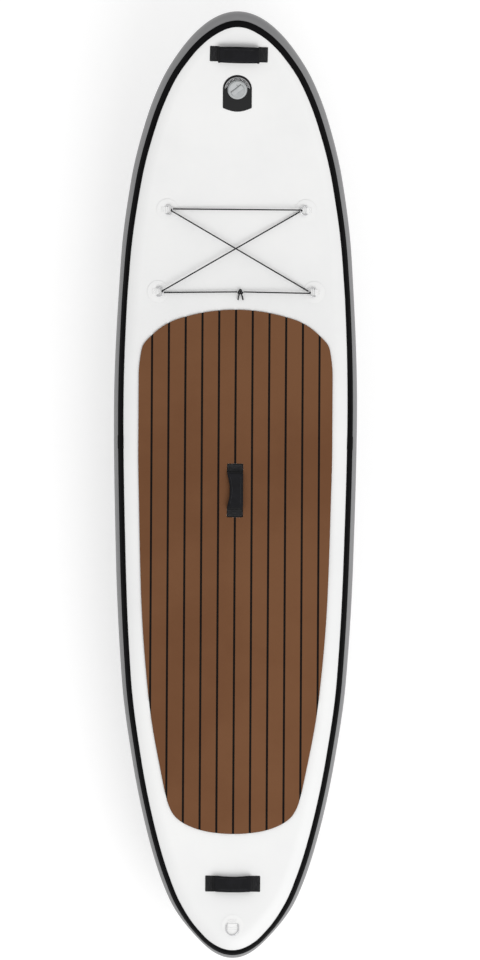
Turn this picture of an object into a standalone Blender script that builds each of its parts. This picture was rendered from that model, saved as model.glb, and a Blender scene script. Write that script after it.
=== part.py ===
# Inflatable stand-up paddle board with deck pad, handles, bungee, air valve and fins.
# Units are metres. +Y points to the nose, +X to the right-hand rail, +Z up through the deck.
# The origin lies on the hull's flat bottom, straight below the middle of the centre handle.
import math
from collections import namedtuple

import bmesh
import bpy
from mathutils import Matrix, Vector

# Hull
board_length = 3.203
board_width = 0.824
hull_thickness = 0.150
nose_reach = 1.6195
skin_thickness = 0.0009
rail_wall_thickness = 0.0009
tape_thickness = 0.0009
fit_gap = 0.0003
tail_y = nose_reach - board_length

# Rocker: the rise of the hull towards each tip, and the length over which it rises
nose_rocker = 0.190
nose_rocker_length = 1.000
tail_rocker = 0.018
tail_rocker_length = 0.350

# Rail: where the deck skin ends on the round rail, and the tape that covers that seam
seam_angle = math.radians(47)
tape_upper_angle = math.radians(56)
tape_lower_angle = math.radians(37)
shoulder_angle = math.radians(73)
flank_angle = math.radians(12.5)

# Outline: share of the board's length from the nose, share of its half width
outline_shape = (
    (0.0, 0.0), (0.0131, 0.267), (0.0385, 0.456), (0.0723, 0.620), (0.1146, 0.748),
    (0.178, 0.869), (0.2625, 0.950), (0.421, 1.0), (0.5795, 0.976), (0.7064, 0.922),
    (0.7909, 0.832), (0.8755, 0.690), (0.9389, 0.517), (0.979, 0.287), (1.0, 0.0),
)
nose_stations = 14
middle_stations = 5
tail_stations = 8

# Deck pad: the two outer planks are narrower than the others by the edge trim
pad_front = 1.0075
pad_length = 1.775
pad_side_margin = 0.0837
pad_width = board_width - 2 * pad_side_margin
pad_base_thickness = 0.0015
plank_thickness = 0.0032
plank_count = 12
plank_edge_trim = 0.0119
plank_pitch = (pad_width + 2 * plank_edge_trim) / plank_count
plank_groove = 0.006

# Pad outline: share of the pad's length from its front end, share of its half width
pad_shape = (
    (0.0, 0.0), (0.011, 0.463), (0.0234, 0.670), (0.0457, 0.8456), (0.0744, 0.9686),
    (0.1259, 1.0), (0.267, 1.0), (0.3623, 0.9899), (0.5532, 0.9595), (0.7437, 0.8763),
    (0.8868, 0.7423), (0.9403, 0.6753), (0.9628, 0.6183), (0.9783, 0.5257), (0.9859, 0.4435),
    (0.9936, 0.3198), (1.0, 0.0),
)
pad_steps = 36

# Carry handles: distance of their middle from the nose tip or the tail tip
nose_handle_reach = 0.1455
tail_handle_reach = 0.2525
nose_handle_length = 0.193
centre_handle_length = 0.183
tail_handle_length = 0.188
handle_width = 0.054
handle_patch_length = 0.032
handle_patch_thickness = 0.0012
handle_strap_width = 0.040
handle_strap_foot = 0.026
handle_strap_end = 0.003
handle_strap_thickness = 0.0022
handle_grip_height = 0.018
handle_grip_lift = 0.020
handle_grip_end = 0.036
handle_waist = 0.006
handle_recess_margin = 0.004
handle_patch_inset = 0.001

# Rings: a straight bar that turns in its patch and a round bow
ring_wire = 0.0040
ring_bow_width = 0.030
ring_bow_depth = 0.023
tail_ring_bow_width = 0.041
tail_ring_bow_depth = 0.0365
ring_patch_radius = 0.037
ring_patch_thickness = 0.0009
ring_bar_height = 0.0035
ring_tunnel_length = 0.018
ring_tunnel_wall = 0.0013
ring_tilt = math.radians(20)
upper_ring_reach = 0.6705
lower_ring_reach = 0.9475
upper_ring_inset = 0.174
lower_ring_inset = 0.144
upper_ring_offset = board_width / 2 - upper_ring_inset
lower_ring_offset = board_width / 2 - lower_ring_inset
tail_ring_reach = 0.1145

# Bungee
bungee_diameter = 0.0045
knot_offset = 0.014
knot_size = 0.0039
knot_tail = 0.022

# Air valve
valve_reach = 0.2645
valve_patch_width = 0.098
valve_patch_front = 0.051
valve_patch_back = 0.077
valve_patch_thickness = 0.0009
valve_flange_radius = 0.0330
valve_flange_thickness = 0.0025
valve_barrel_radius = 0.0220
valve_bore_radius = 0.0180
valve_seat_radius = 0.0130
valve_depth = 0.0380
valve_seat_depth = 0.0240
valve_seat_thickness = 0.0030
valve_nut_radius = 0.0310
valve_nut_height = 0.0100
valve_clearance = 0.0004
valve_cap_radius = 0.0305
valve_cap_height = 0.0052
valve_cap_bar_length = 0.046
valve_cap_bar_width = 0.0160
valve_cap_bar_height = 0.0040
valve_cap_bar_angle = math.radians(39)
valve_stem_radius = 0.0025
valve_button_radius = 0.0070
valve_button_depth = 0.0040
valve_button_height = 0.0025
valve_hub_radius = 0.0052
valve_hub_height = 0.0045
valve_diaphragm_radius = 0.0150
valve_diaphragm_thickness = 0.0026
spring_wire = 0.0011
spring_radius = 0.0042
spring_turns = 4.5
round_steps = 24

# Fins
fin_box_reach = 0.455
fin_box_length = 0.270
fin_box_width = 0.026
fin_box_height = 0.022
fin_flange_width = 0.076
fin_flange_margin = 0.020
fin_flange_thickness = 0.0025
fin_slot_length = 0.250
fin_slot_width = 0.0096
fin_slot_depth = 0.0180
fin_groove_width = 0.0150
fin_groove_height = 0.0045
fin_groove_depth = 0.0095
fin_tab_length = 0.160
fin_tab_height = 0.0170
fin_running_gap = 0.0003
fin_depth = 0.205
fin_root_chord = 0.160
fin_tip_chord = 0.045
fin_rake = 0.075
fin_lug_length = 0.018
fin_lug_thickness = 0.0035
fin_pin_radius = 0.0020
fin_screw_radius = 0.0020
fin_screw_head_radius = 0.0039
fin_screw_head_height = 0.0020
fin_plate_length = 0.0140
fin_plate_thickness = 0.0030
side_fin_reach = 0.430
side_fin_inset = 0.267
side_fin_offset = board_width / 2 - side_fin_inset
side_fin_chord = 0.100
side_fin_tip_chord = 0.035
side_fin_depth = 0.105
side_fin_rake = 0.045
side_fin_base_length = 0.124
side_fin_base_width = 0.032
side_fin_base_thickness = 0.0030
side_fin_toe_in = math.radians(2)

merge_distance = 0.0001
Station = namedtuple("Station", "x y nx ny")


# Scene and materials
for old in list(bpy.data.objects):
    bpy.data.objects.remove(old, do_unlink=True)

board = bpy.data.collections.new("stand_up_paddle_board")
cutters = bpy.data.collections.new("cutters")
bpy.context.scene.collection.children.link(board)
bpy.context.scene.collection.children.link(cutters)


def make_material(name, colour, roughness, metallic=0.0):
    material = bpy.data.materials.new(name)
    material.use_nodes = True
    shader = material.node_tree.nodes["Principled BSDF"]
    shader.inputs["Base Color"].default_value = (*colour, 1.0)
    shader.inputs["Roughness"].default_value = roughness
    shader.inputs["Metallic"].default_value = metallic
    material.diffuse_color = (*colour, 1.0)
    return material


white_skin = make_material("white_skin", (0.86, 0.86, 0.85), 0.45)
grey_rail = make_material("grey_rail", (0.30, 0.30, 0.31), 0.5)
black_tape = make_material("black_tape", (0.012, 0.012, 0.013), 0.5)
stitch_core = make_material("stitch_core", (0.75, 0.75, 0.72), 0.9)
black_foam = make_material("black_foam", (0.015, 0.015, 0.015), 0.9)
brown_foam = make_material("brown_foam", (0.145, 0.070, 0.038), 0.85)
black_webbing = make_material("black_webbing", (0.010, 0.010, 0.011), 0.8)
black_neoprene = make_material("black_neoprene", (0.012, 0.012, 0.014), 0.85)
white_patch = make_material("white_patch", (0.80, 0.80, 0.80), 0.45)
ring_steel = make_material("ring_steel", (0.72, 0.72, 0.72), 0.22, 1.0)
bungee_cover = make_material("bungee_cover", (0.012, 0.012, 0.013), 0.75)
valve_plastic = make_material("valve_plastic", (0.42, 0.43, 0.44), 0.4)
valve_dark = make_material("valve_dark", (0.03, 0.03, 0.032), 0.45)
seal_rubber = make_material("seal_rubber", (0.02, 0.02, 0.02), 0.7)
spring_steel = make_material("spring_steel", (0.6, 0.6, 0.6), 0.25, 1.0)
fin_plastic = make_material("fin_plastic", (0.03, 0.03, 0.032), 0.35)
box_plastic = make_material("box_plastic", (0.05, 0.05, 0.052), 0.45)
screw_steel = make_material("screw_steel", (0.7, 0.7, 0.7), 0.25, 1.0)
plate_brass = make_material("plate_brass", (0.6, 0.42, 0.16), 0.3, 1.0)


# Shared helpers
def add_object(name, data, material, collection=board):
    thing = bpy.data.objects.new(name, data)
    if material is not None:
        data.materials.append(material)
    collection.objects.link(thing)
    return thing


def add_mesh(name, bm, material, smooth=True):
    data = bpy.data.meshes.new(name)
    bmesh.ops.recalc_face_normals(bm, faces=bm.faces)
    bm.to_mesh(data)
    bm.free()
    thing = add_object(name, data, material)
    if smooth:
        data.shade_smooth()
        data.set_sharp_from_angle(angle=math.radians(30))
    return thing


def add_cutter(name, bm, matrix=None):
    data = bpy.data.meshes.new(name)
    bmesh.ops.recalc_face_normals(bm, faces=bm.faces)
    bm.to_mesh(data)
    bm.free()
    thing = add_object(name, data, None, cutters)
    thing.hide_render = True
    thing.display_type = "WIRE"
    if matrix is not None:
        thing.matrix_world = matrix
    return thing


def boolean(thing, other, operation="DIFFERENCE"):
    modifier = thing.modifiers.new(other.name, "BOOLEAN")
    modifier.operation = operation
    modifier.object = other
    modifier.solver = "EXACT"


def solidify(thing, thickness, offset=1.0):
    modifier = thing.modifiers.new("thickness", "SOLIDIFY")
    modifier.thickness = thickness
    modifier.offset = offset
    modifier.use_even_offset = True


def box_mesh(low, high):
    bm = bmesh.new()
    size = Vector(high) - Vector(low)
    middle = (Vector(high) + Vector(low)) / 2
    bmesh.ops.create_cube(bm, size=1.0, matrix=Matrix.Translation(middle) @ Matrix.Diagonal((*size, 1.0)))
    return bm


def cylinder_mesh(radius, low, high, steps=round_steps, axis="Z"):
    bm = bmesh.new()
    turn = {"Z": Matrix(), "X": Matrix.Rotation(math.pi / 2, 4, "Y"), "Y": Matrix.Rotation(-math.pi / 2, 4, "X")}
    place = turn[axis] @ Matrix.Translation((0, 0, (low + high) / 2))
    bmesh.ops.create_cone(bm, cap_ends=True, segments=steps, radius1=radius, radius2=radius,
                          depth=high - low, matrix=place)
    return bm


def prism_mesh(outline, low, high):
    bm = bmesh.new()
    face = bm.faces.new([bm.verts.new((x, y, low)) for x, y in outline])
    raised = bmesh.ops.extrude_face_region(bm, geom=[face])
    top = [item for item in raised["geom"] if isinstance(item, bmesh.types.BMVert)]
    bmesh.ops.translate(bm, verts=top, vec=(0, 0, high - low))
    bmesh.ops.recalc_face_normals(bm, faces=bm.faces)
    return bm


def turned(name, profile, material, closed=True, steps=round_steps):
    # The profile is (radius, height) down the outer side and back up the inner side or the axis
    data = bpy.data.meshes.new(name)
    count = len(profile)
    edges = [(i, i + 1) for i in range(count - 1)]
    if closed:
        edges.append((count - 1, 0))
    data.from_pydata([(radius, 0, height) for radius, height in profile], edges, [])
    thing = add_object(name, data, material)
    screw = thing.modifiers.new("turn", "SCREW")
    screw.steps = steps
    screw.render_steps = steps
    screw.use_merge_vertices = True
    screw.merge_threshold = merge_distance
    screw.use_smooth_shade = True
    return thing


def tube(name, points, diameter, material, cyclic=False, resolution=2):
    curve = bpy.data.curves.new(name, "CURVE")
    curve.dimensions = "3D"
    curve.fill_mode = "FULL"
    curve.bevel_depth = diameter / 2
    curve.bevel_resolution = resolution
    curve.use_fill_caps = not cyclic
    spline = curve.splines.new("POLY")
    spline.points.add(len(points) - 1)
    for point, place in zip(spline.points, points):
        point.co = (*place, 1.0)
    spline.use_cyclic_u = cyclic
    return add_object(name, curve, material)


def rounded_rectangle(length_x, length_y, radius, steps=4):
    corners = ((1, 1, 0), (-1, 1, 90), (-1, -1, 180), (1, -1, 270))
    points = []
    for side_x, side_y, start in corners:
        for step in range(steps + 1):
            angle = math.radians(start + 90 * step / steps)
            points.append((side_x * (length_x / 2 - radius) + radius * math.cos(angle),
                           side_y * (length_y / 2 - radius) + radius * math.sin(angle)))
    return points


def smooth_table(table):
    # Interpolates the square of the second column, which gives an outline with round ends
    knots = [row[0] for row in table]
    squares = [row[1] ** 2 for row in table]
    slopes = [(squares[i + 1] - squares[i]) / (knots[i + 1] - knots[i]) for i in range(len(knots) - 1)]
    tangents = [slopes[0]]
    for before, after in zip(slopes, slopes[1:]):
        same_way = before * after > 0
        tangents.append(2 * before * after / (before + after) if same_way else 0.0)
    tangents.append(slopes[-1])

    def value(at):
        at = min(max(at, knots[0]), knots[-1])
        i = max(k for k in range(len(knots) - 1) if knots[k] <= at)
        span = knots[i + 1] - knots[i]
        t = (at - knots[i]) / span
        square = ((2 * t ** 3 - 3 * t ** 2 + 1) * squares[i] + (t ** 3 - 2 * t ** 2 + t) * span * tangents[i]
                  + (3 * t ** 2 - 2 * t ** 3) * squares[i + 1] + (t ** 3 - t ** 2) * span * tangents[i + 1])
        return math.sqrt(max(square, 0.0))
    return value


outline_share = smooth_table(outline_shape)
pad_share = smooth_table(pad_shape)


# Hull geometry
def half_width(from_nose):
    return board_width / 2 * outline_share(from_nose / board_length)


def rocker(y):
    nose_run = max(0.0, y - (nose_reach - nose_rocker_length)) / nose_rocker_length
    tail_run = max(0.0, (tail_y + tail_rocker_length) - y) / tail_rocker_length
    return nose_rocker * nose_run ** 2 + tail_rocker * tail_run ** 2


def station_distances():
    tail_start = board_length - tail_rocker_length
    middle = (tail_start - nose_rocker_length) / middle_stations
    nose = [nose_rocker_length * (1 - math.cos(math.pi / 2 * i / nose_stations)) for i in range(nose_stations)]
    flat = [nose_rocker_length + middle * i for i in range(middle_stations)]
    tail = [tail_start + tail_rocker_length * math.sin(math.pi / 2 * i / tail_stations)
            for i in range(tail_stations + 1)]
    return nose + flat + tail


def make_station(from_nose):
    # The centre of the round rail at this station, with the outward direction in plan
    step = 0.0001
    if from_nose < step or from_nose > board_length - step:
        normal = Vector((0.0, 1.0 if from_nose < step else -1.0))
    else:
        run = half_width(from_nose + step) - half_width(from_nose - step)
        normal = Vector((2 * step, run)).normalized()
    centre = Vector((half_width(from_nose), nose_reach - from_nose)) - normal * hull_thickness / 2
    return Station(centre.x, centre.y, normal.x, normal.y)


stations = [make_station(distance) for distance in station_distances()]
deck_breaks = [station.y for station in stations]
rail_angles = [math.pi / 2, shoulder_angle, tape_upper_angle, seam_angle, tape_lower_angle, flank_angle]
rail_angles += [-angle for angle in reversed(rail_angles)]


def deck_rise(y):
    # Rise of the deck's flat facets, which run straight from station to station
    if y >= deck_breaks[0]:
        upper, lower = deck_breaks[0], deck_breaks[1]
    elif y <= deck_breaks[-1]:
        upper, lower = deck_breaks[-2], deck_breaks[-1]
    else:
        index = min(k for k in range(1, len(deck_breaks)) if deck_breaks[k] <= y)
        upper, lower = deck_breaks[index - 1], deck_breaks[index]
    share = (y - lower) / (upper - lower)
    return rocker(lower) + share * (rocker(upper) - rocker(lower))


def deck_frame(y, x=0.0, turn=0.0):
    # A frame on the deck skin at this place, with Z along the deck's own normal
    slope = math.atan((deck_rise(y + 0.001) - deck_rise(y - 0.001)) / 0.002)
    place = Matrix.Translation((x, y, hull_thickness + deck_rise(y)))
    return place @ Matrix.Rotation(slope, 4, "X") @ Matrix.Rotation(turn, 4, "Z")


def hull_point(station, side, radius, angle):
    reach = radius * math.cos(angle)
    x = side * (station.x + reach * station.nx)
    y = station.y + reach * station.ny
    return Vector((x, y, hull_thickness / 2 + radius * math.sin(angle) + rocker(y)))


def hull_panel(radius, upper_angle, lower_angle):
    # One layer of the hull between two angles on the rail; 90 degrees closes it over the deck or bottom
    bm = bmesh.new()
    last = len(stations) - 1
    around = [(i, 1) for i in range(last + 1)] + [(i, -1) for i in range(last - 1, 0, -1)]
    between = [angle for angle in rail_angles if lower_angle < angle < upper_angle]
    rows = []
    for angle in [upper_angle, *between, lower_angle]:
        rows.append([bm.verts.new(hull_point(stations[i], side, radius, angle)) for i, side in around])
    for above, below in zip(rows, rows[1:]):
        for k in range(len(around)):
            after = (k + 1) % len(around)
            bm.faces.new((above[k], below[k], below[after], above[after]))
    if upper_angle > math.radians(89):
        close_flat(bm, rows[0], last, False)
    if lower_angle < math.radians(-89):
        close_flat(bm, rows[-1], last, True)
    return bm


def close_flat(bm, ring, last, downward):
    for i in range(last):
        right = (ring[i], ring[i + 1])
        left = (ring[-i] if i else ring[0], ring[-(i + 1)] if i + 1 < last else ring[last])
        corners = [right[0], right[1], left[1], left[0]]
        corners = list(dict.fromkeys(corners))
        bm.faces.new(corners if downward else corners[::-1])


def skin_object(name, radius, upper_angle, lower_angle, thickness, material):
    bm = hull_panel(radius, upper_angle, lower_angle)
    data = bpy.data.meshes.new(name)
    bmesh.ops.recalc_face_normals(bm, faces=bm.faces)
    # An open panel's faces are turned so that they look away from the core
    probe = max(bm.faces, key=lambda face: abs(face.calc_center_median().x))
    if probe.normal.x * probe.calc_center_median().x < 0:
        bmesh.ops.reverse_faces(bm, faces=bm.faces)
    bm.to_mesh(data)
    bm.free()
    thing = add_object(name, data, material)
    data.shade_smooth()
    data.set_sharp_from_angle(angle=math.radians(30))
    solidify(thing, thickness)
    return thing


skin_outer = hull_thickness / 2
skin_inner = skin_outer - skin_thickness
core_radius = skin_inner - fit_gap
tape_inner = skin_outer + fit_gap
seam_gap = math.radians(0.35)
quarter = math.pi / 2

# Valve axis
valve_y = nose_reach - valve_reach
valve_frame = deck_frame(valve_y)
valve_hole_radius = valve_barrel_radius + valve_clearance
recess_radius = valve_nut_radius + 0.0015


def valve_hole(name, radius, low, high):
    return add_cutter(name, cylinder_mesh(radius, low, high), valve_frame)


# Drop-stitch core and the skins laminated to it
core = add_mesh("drop_stitch_core", hull_panel(core_radius, quarter, -quarter), stitch_core)
boolean(core, valve_hole("valve_recess", recess_radius, -valve_depth - 0.008, 0.02))

deck_skin = skin_object("deck_skin", skin_inner, quarter, seam_angle, skin_thickness, white_skin)
boolean(deck_skin, valve_hole("deck_valve_hole", valve_hole_radius, -0.02, 0.02))

skin_object("bottom_skin", skin_inner, -seam_angle, -quarter, skin_thickness, white_skin)
skin_object("rail_wall", skin_inner, seam_angle - seam_gap, seam_gap - seam_angle, rail_wall_thickness, grey_rail)
skin_object("rail_tape_upper", tape_inner, tape_upper_angle, tape_lower_angle, tape_thickness, black_tape)
skin_object("rail_tape_lower", tape_inner, -tape_lower_angle, -tape_upper_angle, tape_thickness, black_tape)


# Deck pad: a black base sheet and brown planks cut from the layer above it
def drape(bm):
    # Bends a mesh made for a flat deck so that it follows the deck's facets
    low = min(vert.co.y for vert in bm.verts)
    high = max(vert.co.y for vert in bm.verts)
    for y in deck_breaks:
        if low + 0.0005 < y < high - 0.0005:
            geometry = bm.verts[:] + bm.edges[:] + bm.faces[:]
            bmesh.ops.bisect_plane(bm, geom=geometry, dist=merge_distance / 10, plane_co=(0, y, 0),
                                   plane_no=(0, 1, 0))
    for vert in bm.verts:
        vert.co.z += deck_rise(vert.co.y)
    return bm


def pad_outline():
    front = nose_reach - pad_front
    shares = [(1 - math.cos(math.pi * i / pad_steps)) / 2 for i in range(pad_steps + 1)]
    right = [(pad_width / 2 * pad_share(share), front - pad_length * share) for share in shares]
    left = [(-x, y) for x, y in reversed(right[1:-1])]
    return right + left


def pad_layer(left, right, low, high):
    # The part of the pad's outline between two lines along the board, as a flat solid
    bm = bmesh.new()
    bm.faces.new([bm.verts.new((x, y, low)) for x, y in pad_outline()])
    for edge, direction in ((right, 1), (left, -1)):
        geometry = bm.verts[:] + bm.edges[:] + bm.faces[:]
        bmesh.ops.bisect_plane(bm, geom=geometry, dist=merge_distance / 10, plane_co=(edge, 0, 0),
                               plane_no=(direction, 0, 0), clear_outer=True)
    raised = bmesh.ops.extrude_face_region(bm, geom=bm.faces[:])
    top = [item for item in raised["geom"] if isinstance(item, bmesh.types.BMVert)]
    bmesh.ops.translate(bm, verts=top, vec=(0, 0, high - low))
    return drape(bm)


pad_low = hull_thickness + fit_gap
pad_middle = pad_low + pad_base_thickness
plank_low = pad_middle + fit_gap
pad_top = plank_low + plank_thickness
pad_edge = plank_pitch * plank_count / 2

recess_width = handle_width - 2 * handle_recess_margin
recess_outline = rounded_rectangle(recess_width, centre_handle_length, 0.006)
recess_cutter = add_cutter("centre_handle_recess", prism_mesh(recess_outline, hull_thickness - 0.01, pad_top + 0.01))

pad_base = add_mesh("pad_base", pad_layer(-pad_edge, pad_edge, pad_low, pad_middle), black_foam)
boolean(pad_base, recess_cutter)
for number in range(plank_count):
    centre = (number - (plank_count - 1) / 2) * plank_pitch
    reach = (plank_pitch - plank_groove) / 2
    plank = add_mesh(f"pad_plank_{number + 1:02d}", pad_layer(centre - reach, centre + reach, plank_low, pad_top),
                     brown_foam)
    if abs(centre) < plank_pitch:
        boolean(plank, recess_cutter)


# Carry handles: a padded grip on a webbing strap, whose ends are welded to two patches
def strap_path(length, lift):
    flat = handle_patch_thickness + 2 * fit_gap + handle_strap_thickness / 2
    end = length / 2 - handle_strap_end
    foot = length / 2 - handle_strap_foot
    top = length / 2 - handle_grip_end + 0.001
    half = [(end, flat), (foot, flat), (foot - (foot - top) * 0.25, flat + (lift - flat) * 0.12),
            (foot - (foot - top) * 0.75, flat + (lift - flat) * 0.88), (top, lift)]
    return [(-run, height) for run, height in half] + [half[-1]] + half[-2::-1]


def oval(width, height, steps):
    ring = []
    for step in range(steps):
        angle = 2 * math.pi * (step + 0.5) / steps
        run = math.copysign(abs(math.cos(angle)) ** 0.6, math.cos(angle))
        rise = math.copysign(abs(math.sin(angle)) ** 0.8, math.sin(angle))
        ring.append((width / 2 * run, height / 2 * rise))
    return ring


def grip_mesh(length):
    # Loft of rounded sections along X, slimmer in the middle and drawn in at both ends
    bm = bmesh.new()
    half = length / 2
    places = (-half, -half + 0.004, -half * 0.55, 0.0, half * 0.55, half - 0.004, half)
    rings = []
    for place in places:
        share = 1 - abs(place) / half
        width = handle_width - handle_waist * math.sin(math.pi / 2 * share)
        height = handle_grip_height
        if abs(place) == half:
            width -= 0.004
            height -= 0.005
        rings.append([bm.verts.new((place, run, rise)) for run, rise in oval(width, height, 12)])
    for first, second in zip(rings, rings[1:]):
        for k in range(len(first)):
            after = (k + 1) % len(first)
            bm.faces.new((first[k], first[after], second[after], second[k]))
    bm.faces.new(rings[0])
    bm.faces.new(rings[-1])
    return bm


def make_handle(name, y, length, turn):
    frame = deck_frame(y, turn=turn)
    grip_length = length - 2 * handle_grip_end
    lift = handle_grip_lift
    grip = add_mesh(f"{name}_grip", grip_mesh(grip_length), black_neoprene)
    grip.matrix_world = frame @ Matrix.Translation((0, 0, lift))
    slot_width = handle_strap_width / 2 + fit_gap
    slot_height = handle_strap_thickness / 2 + fit_gap
    slot = box_mesh((-length, -slot_width, -slot_height), (length, slot_width, slot_height))
    boolean(grip, add_cutter(f"{name}_grip_slot", slot, grip.matrix_world))

    path = strap_path(length, lift)
    bm = bmesh.new()
    edges = [-handle_strap_width / 2, handle_strap_width / 2]
    rows = [[bm.verts.new((run, edge, height)) for edge in edges] for run, height in path]
    for first, second in zip(rows, rows[1:]):
        bm.faces.new((first[0], second[0], second[1], first[1]))
    strap = add_mesh(f"{name}_strap", bm, black_webbing)
    strap.matrix_world = frame
    solidify(strap, handle_strap_thickness, 0.0)

    low = hull_thickness + fit_gap
    patch_width = recess_width - 2 * handle_patch_inset if turn else handle_width
    for side, end in ((-1, "rear" if turn else "left"), (1, "front" if turn else "right")):
        outline = rounded_rectangle(handle_patch_length, patch_width, 0.006)
        middle = side * (length / 2 - handle_patch_length / 2 - handle_patch_inset)
        placed = [(x + middle, across) for x, across in outline]
        if turn:
            placed = [(-across, x) for x, across in placed]
        bm = prism_mesh([(x, across + y) for x, across in placed], low, low + handle_patch_thickness)
        add_mesh(f"{name}_patch_{end}", drape(bm), black_webbing)


make_handle("nose_handle", nose_reach - nose_handle_reach, nose_handle_length, 0.0)
make_handle("centre_handle", 0.0, centre_handle_length, math.pi / 2)
make_handle("tail_handle", tail_y + tail_handle_reach, tail_handle_length, 0.0)


# Rings and their patches
def ring_path(bow_width, bow_depth):
    # A closed path: the bar along Y through the origin, and the bow towards +X
    half = bow_width / 2
    straight = bow_depth - half
    path = [(0.0, -half), (0.0, 0.0), (0.0, half)]
    for step in range(9):
        angle = math.pi / 2 - math.pi * step / 8
        path.append((straight + half * math.cos(angle), half * math.sin(angle)))
    return [(x, y, 0.0) for x, y in path]


def make_ring(name, y, x, turn, tilt, bow_width, bow_depth):
    # turn points the bow; the ring's own origin is the middle of its bar
    frame = deck_frame(y, x) @ Matrix.Translation((0, 0, ring_bar_height)) @ Matrix.Rotation(turn, 4, "Z")
    ring = tube(f"{name}_ring", ring_path(bow_width, bow_depth), ring_wire, ring_steel, cyclic=True)
    ring.matrix_world = frame @ Matrix.Rotation(-tilt, 4, "Y")

    bore = ring_wire / 2 + fit_gap
    wall = bore + ring_tunnel_wall
    low = hull_thickness + fit_gap
    disc_centre = Vector((x, y)) + Vector((math.cos(turn), math.sin(turn))) * 0.004
    outline = []
    for step in range(24):
        angle = 2 * math.pi * step / 24
        outline.append((disc_centre.x + ring_patch_radius * math.cos(angle),
                        disc_centre.y + ring_patch_radius * math.sin(angle)))
    patch = add_mesh(f"{name}_patch", drape(prism_mesh(outline, low, low + ring_patch_thickness)), white_patch)
    arch = [(wall * math.cos(math.radians(a)), wall * math.sin(math.radians(a))) for a in range(0, 181, 30)]
    arch = [(wall + 0.0012, fit_gap + ring_patch_thickness / 2 - ring_bar_height)] + arch
    arch += [(-wall - 0.0012, fit_gap + ring_patch_thickness / 2 - ring_bar_height)]
    bm = prism_mesh(arch, -ring_tunnel_length / 2, ring_tunnel_length / 2)
    bmesh.ops.rotate(bm, verts=bm.verts, matrix=Matrix.Rotation(math.pi / 2, 3, "X"))
    boolean(patch, add_cutter(f"{name}_tunnel", bm, frame), "UNION")
    bm = cylinder_mesh(bore, -ring_tunnel_length, ring_tunnel_length, 16, "Y")
    boolean(patch, add_cutter(f"{name}_bore", bm, frame))
    return ring


ring_size = (ring_bow_width, ring_bow_depth)
upper_ring_y = nose_reach - upper_ring_reach
lower_ring_y = nose_reach - lower_ring_reach
rings = {}
for name, y, offset in (("upper", upper_ring_y, upper_ring_offset), ("lower", lower_ring_y, lower_ring_offset)):
    rings[f"{name}_left"] = make_ring(f"{name}_left", y, -offset, 0.0, ring_tilt, *ring_size)
    rings[f"{name}_right"] = make_ring(f"{name}_right", y, offset, math.pi, ring_tilt, *ring_size)
make_ring("tail", tail_y + tail_ring_reach, 0.0, -math.pi / 2, math.radians(2),
          tail_ring_bow_width, tail_ring_bow_depth)


# Bungee: one cord laced through the four rings, tied in the middle of its rear run
def lacing(ring, side, enter):
    # The cord passes under the bow, up through the ring and back over the bow, from one lane to the other
    clear = ((ring_wire + bungee_diameter) / 2 + fit_gap) / math.cos(math.pi / 8)
    half = ring_bow_width / 2
    points = []
    for step, angle in enumerate((270, 225, 180, 135, 90)):
        across = -side * enter * (1 - step / 2)
        bow = ring_bow_depth - half + math.sqrt(half ** 2 - across ** 2)
        radial = math.radians(angle)
        points.append(ring.matrix_world @ Vector((bow + clear * math.cos(radial), across, clear * math.sin(radial))))
    return points


def span(first, second, count, sag=0.0):
    return [first.lerp(second, step / count) - Vector((0, 0, sag * math.sin(math.pi * step / count)))
            for step in range(1, count)]


lane = 0.0032
knot_deck_z = hull_thickness + deck_rise(lower_ring_y)
knot_height = knot_deck_z + 0.010
knot_reach = knot_size * 2.6 + bungee_diameter / 2 + 3 * fit_gap
knot_right = Vector((knot_offset + knot_reach, lower_ring_y, knot_height))
knot_left = Vector((knot_offset - knot_reach, lower_ring_y, knot_height))
lower_left = lacing(rings["lower_left"], -1, -lane)
upper_right = lacing(rings["upper_right"], 1, -lane)
upper_left = lacing(rings["upper_left"], -1, lane)
lower_right = lacing(rings["lower_right"], 1, lane)
crossing_lift = bungee_diameter + 2 * fit_gap
route = [knot_left]
route += span(knot_left, lower_left[0], 4)
route += lower_left
route += span(lower_left[-1], upper_right[0], 8)
route += upper_right
route += span(upper_right[-1], upper_left[0], 5)
route += upper_left
route += span(upper_left[-1], lower_right[0], 8, -crossing_lift)
route += lower_right
route += span(lower_right[-1], knot_right, 4)
route += [knot_right]
tube("bungee_cord", route, bungee_diameter, bungee_cover)

# The knot: an overhand knot whose two tails point to the board's tail
def as_mesh(curve_object, hidden=False):
    evaluated = curve_object.evaluated_get(bpy.context.evaluated_depsgraph_get())
    data = bpy.data.meshes.new_from_object(evaluated)
    bm = bmesh.new()
    bm.from_mesh(data)
    bmesh.ops.remove_doubles(bm, verts=bm.verts, dist=merge_distance / 10)
    bm.to_mesh(data)
    bm.free()
    name = curve_object.name
    matrix = curve_object.matrix_world.copy()
    bpy.data.objects.remove(curve_object, do_unlink=True)
    thing = add_object(name, data, None, cutters if hidden else board)
    thing.matrix_world = matrix
    thing.hide_render = hidden
    thing.display_type = "WIRE" if hidden else "TEXTURED"
    return thing


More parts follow.
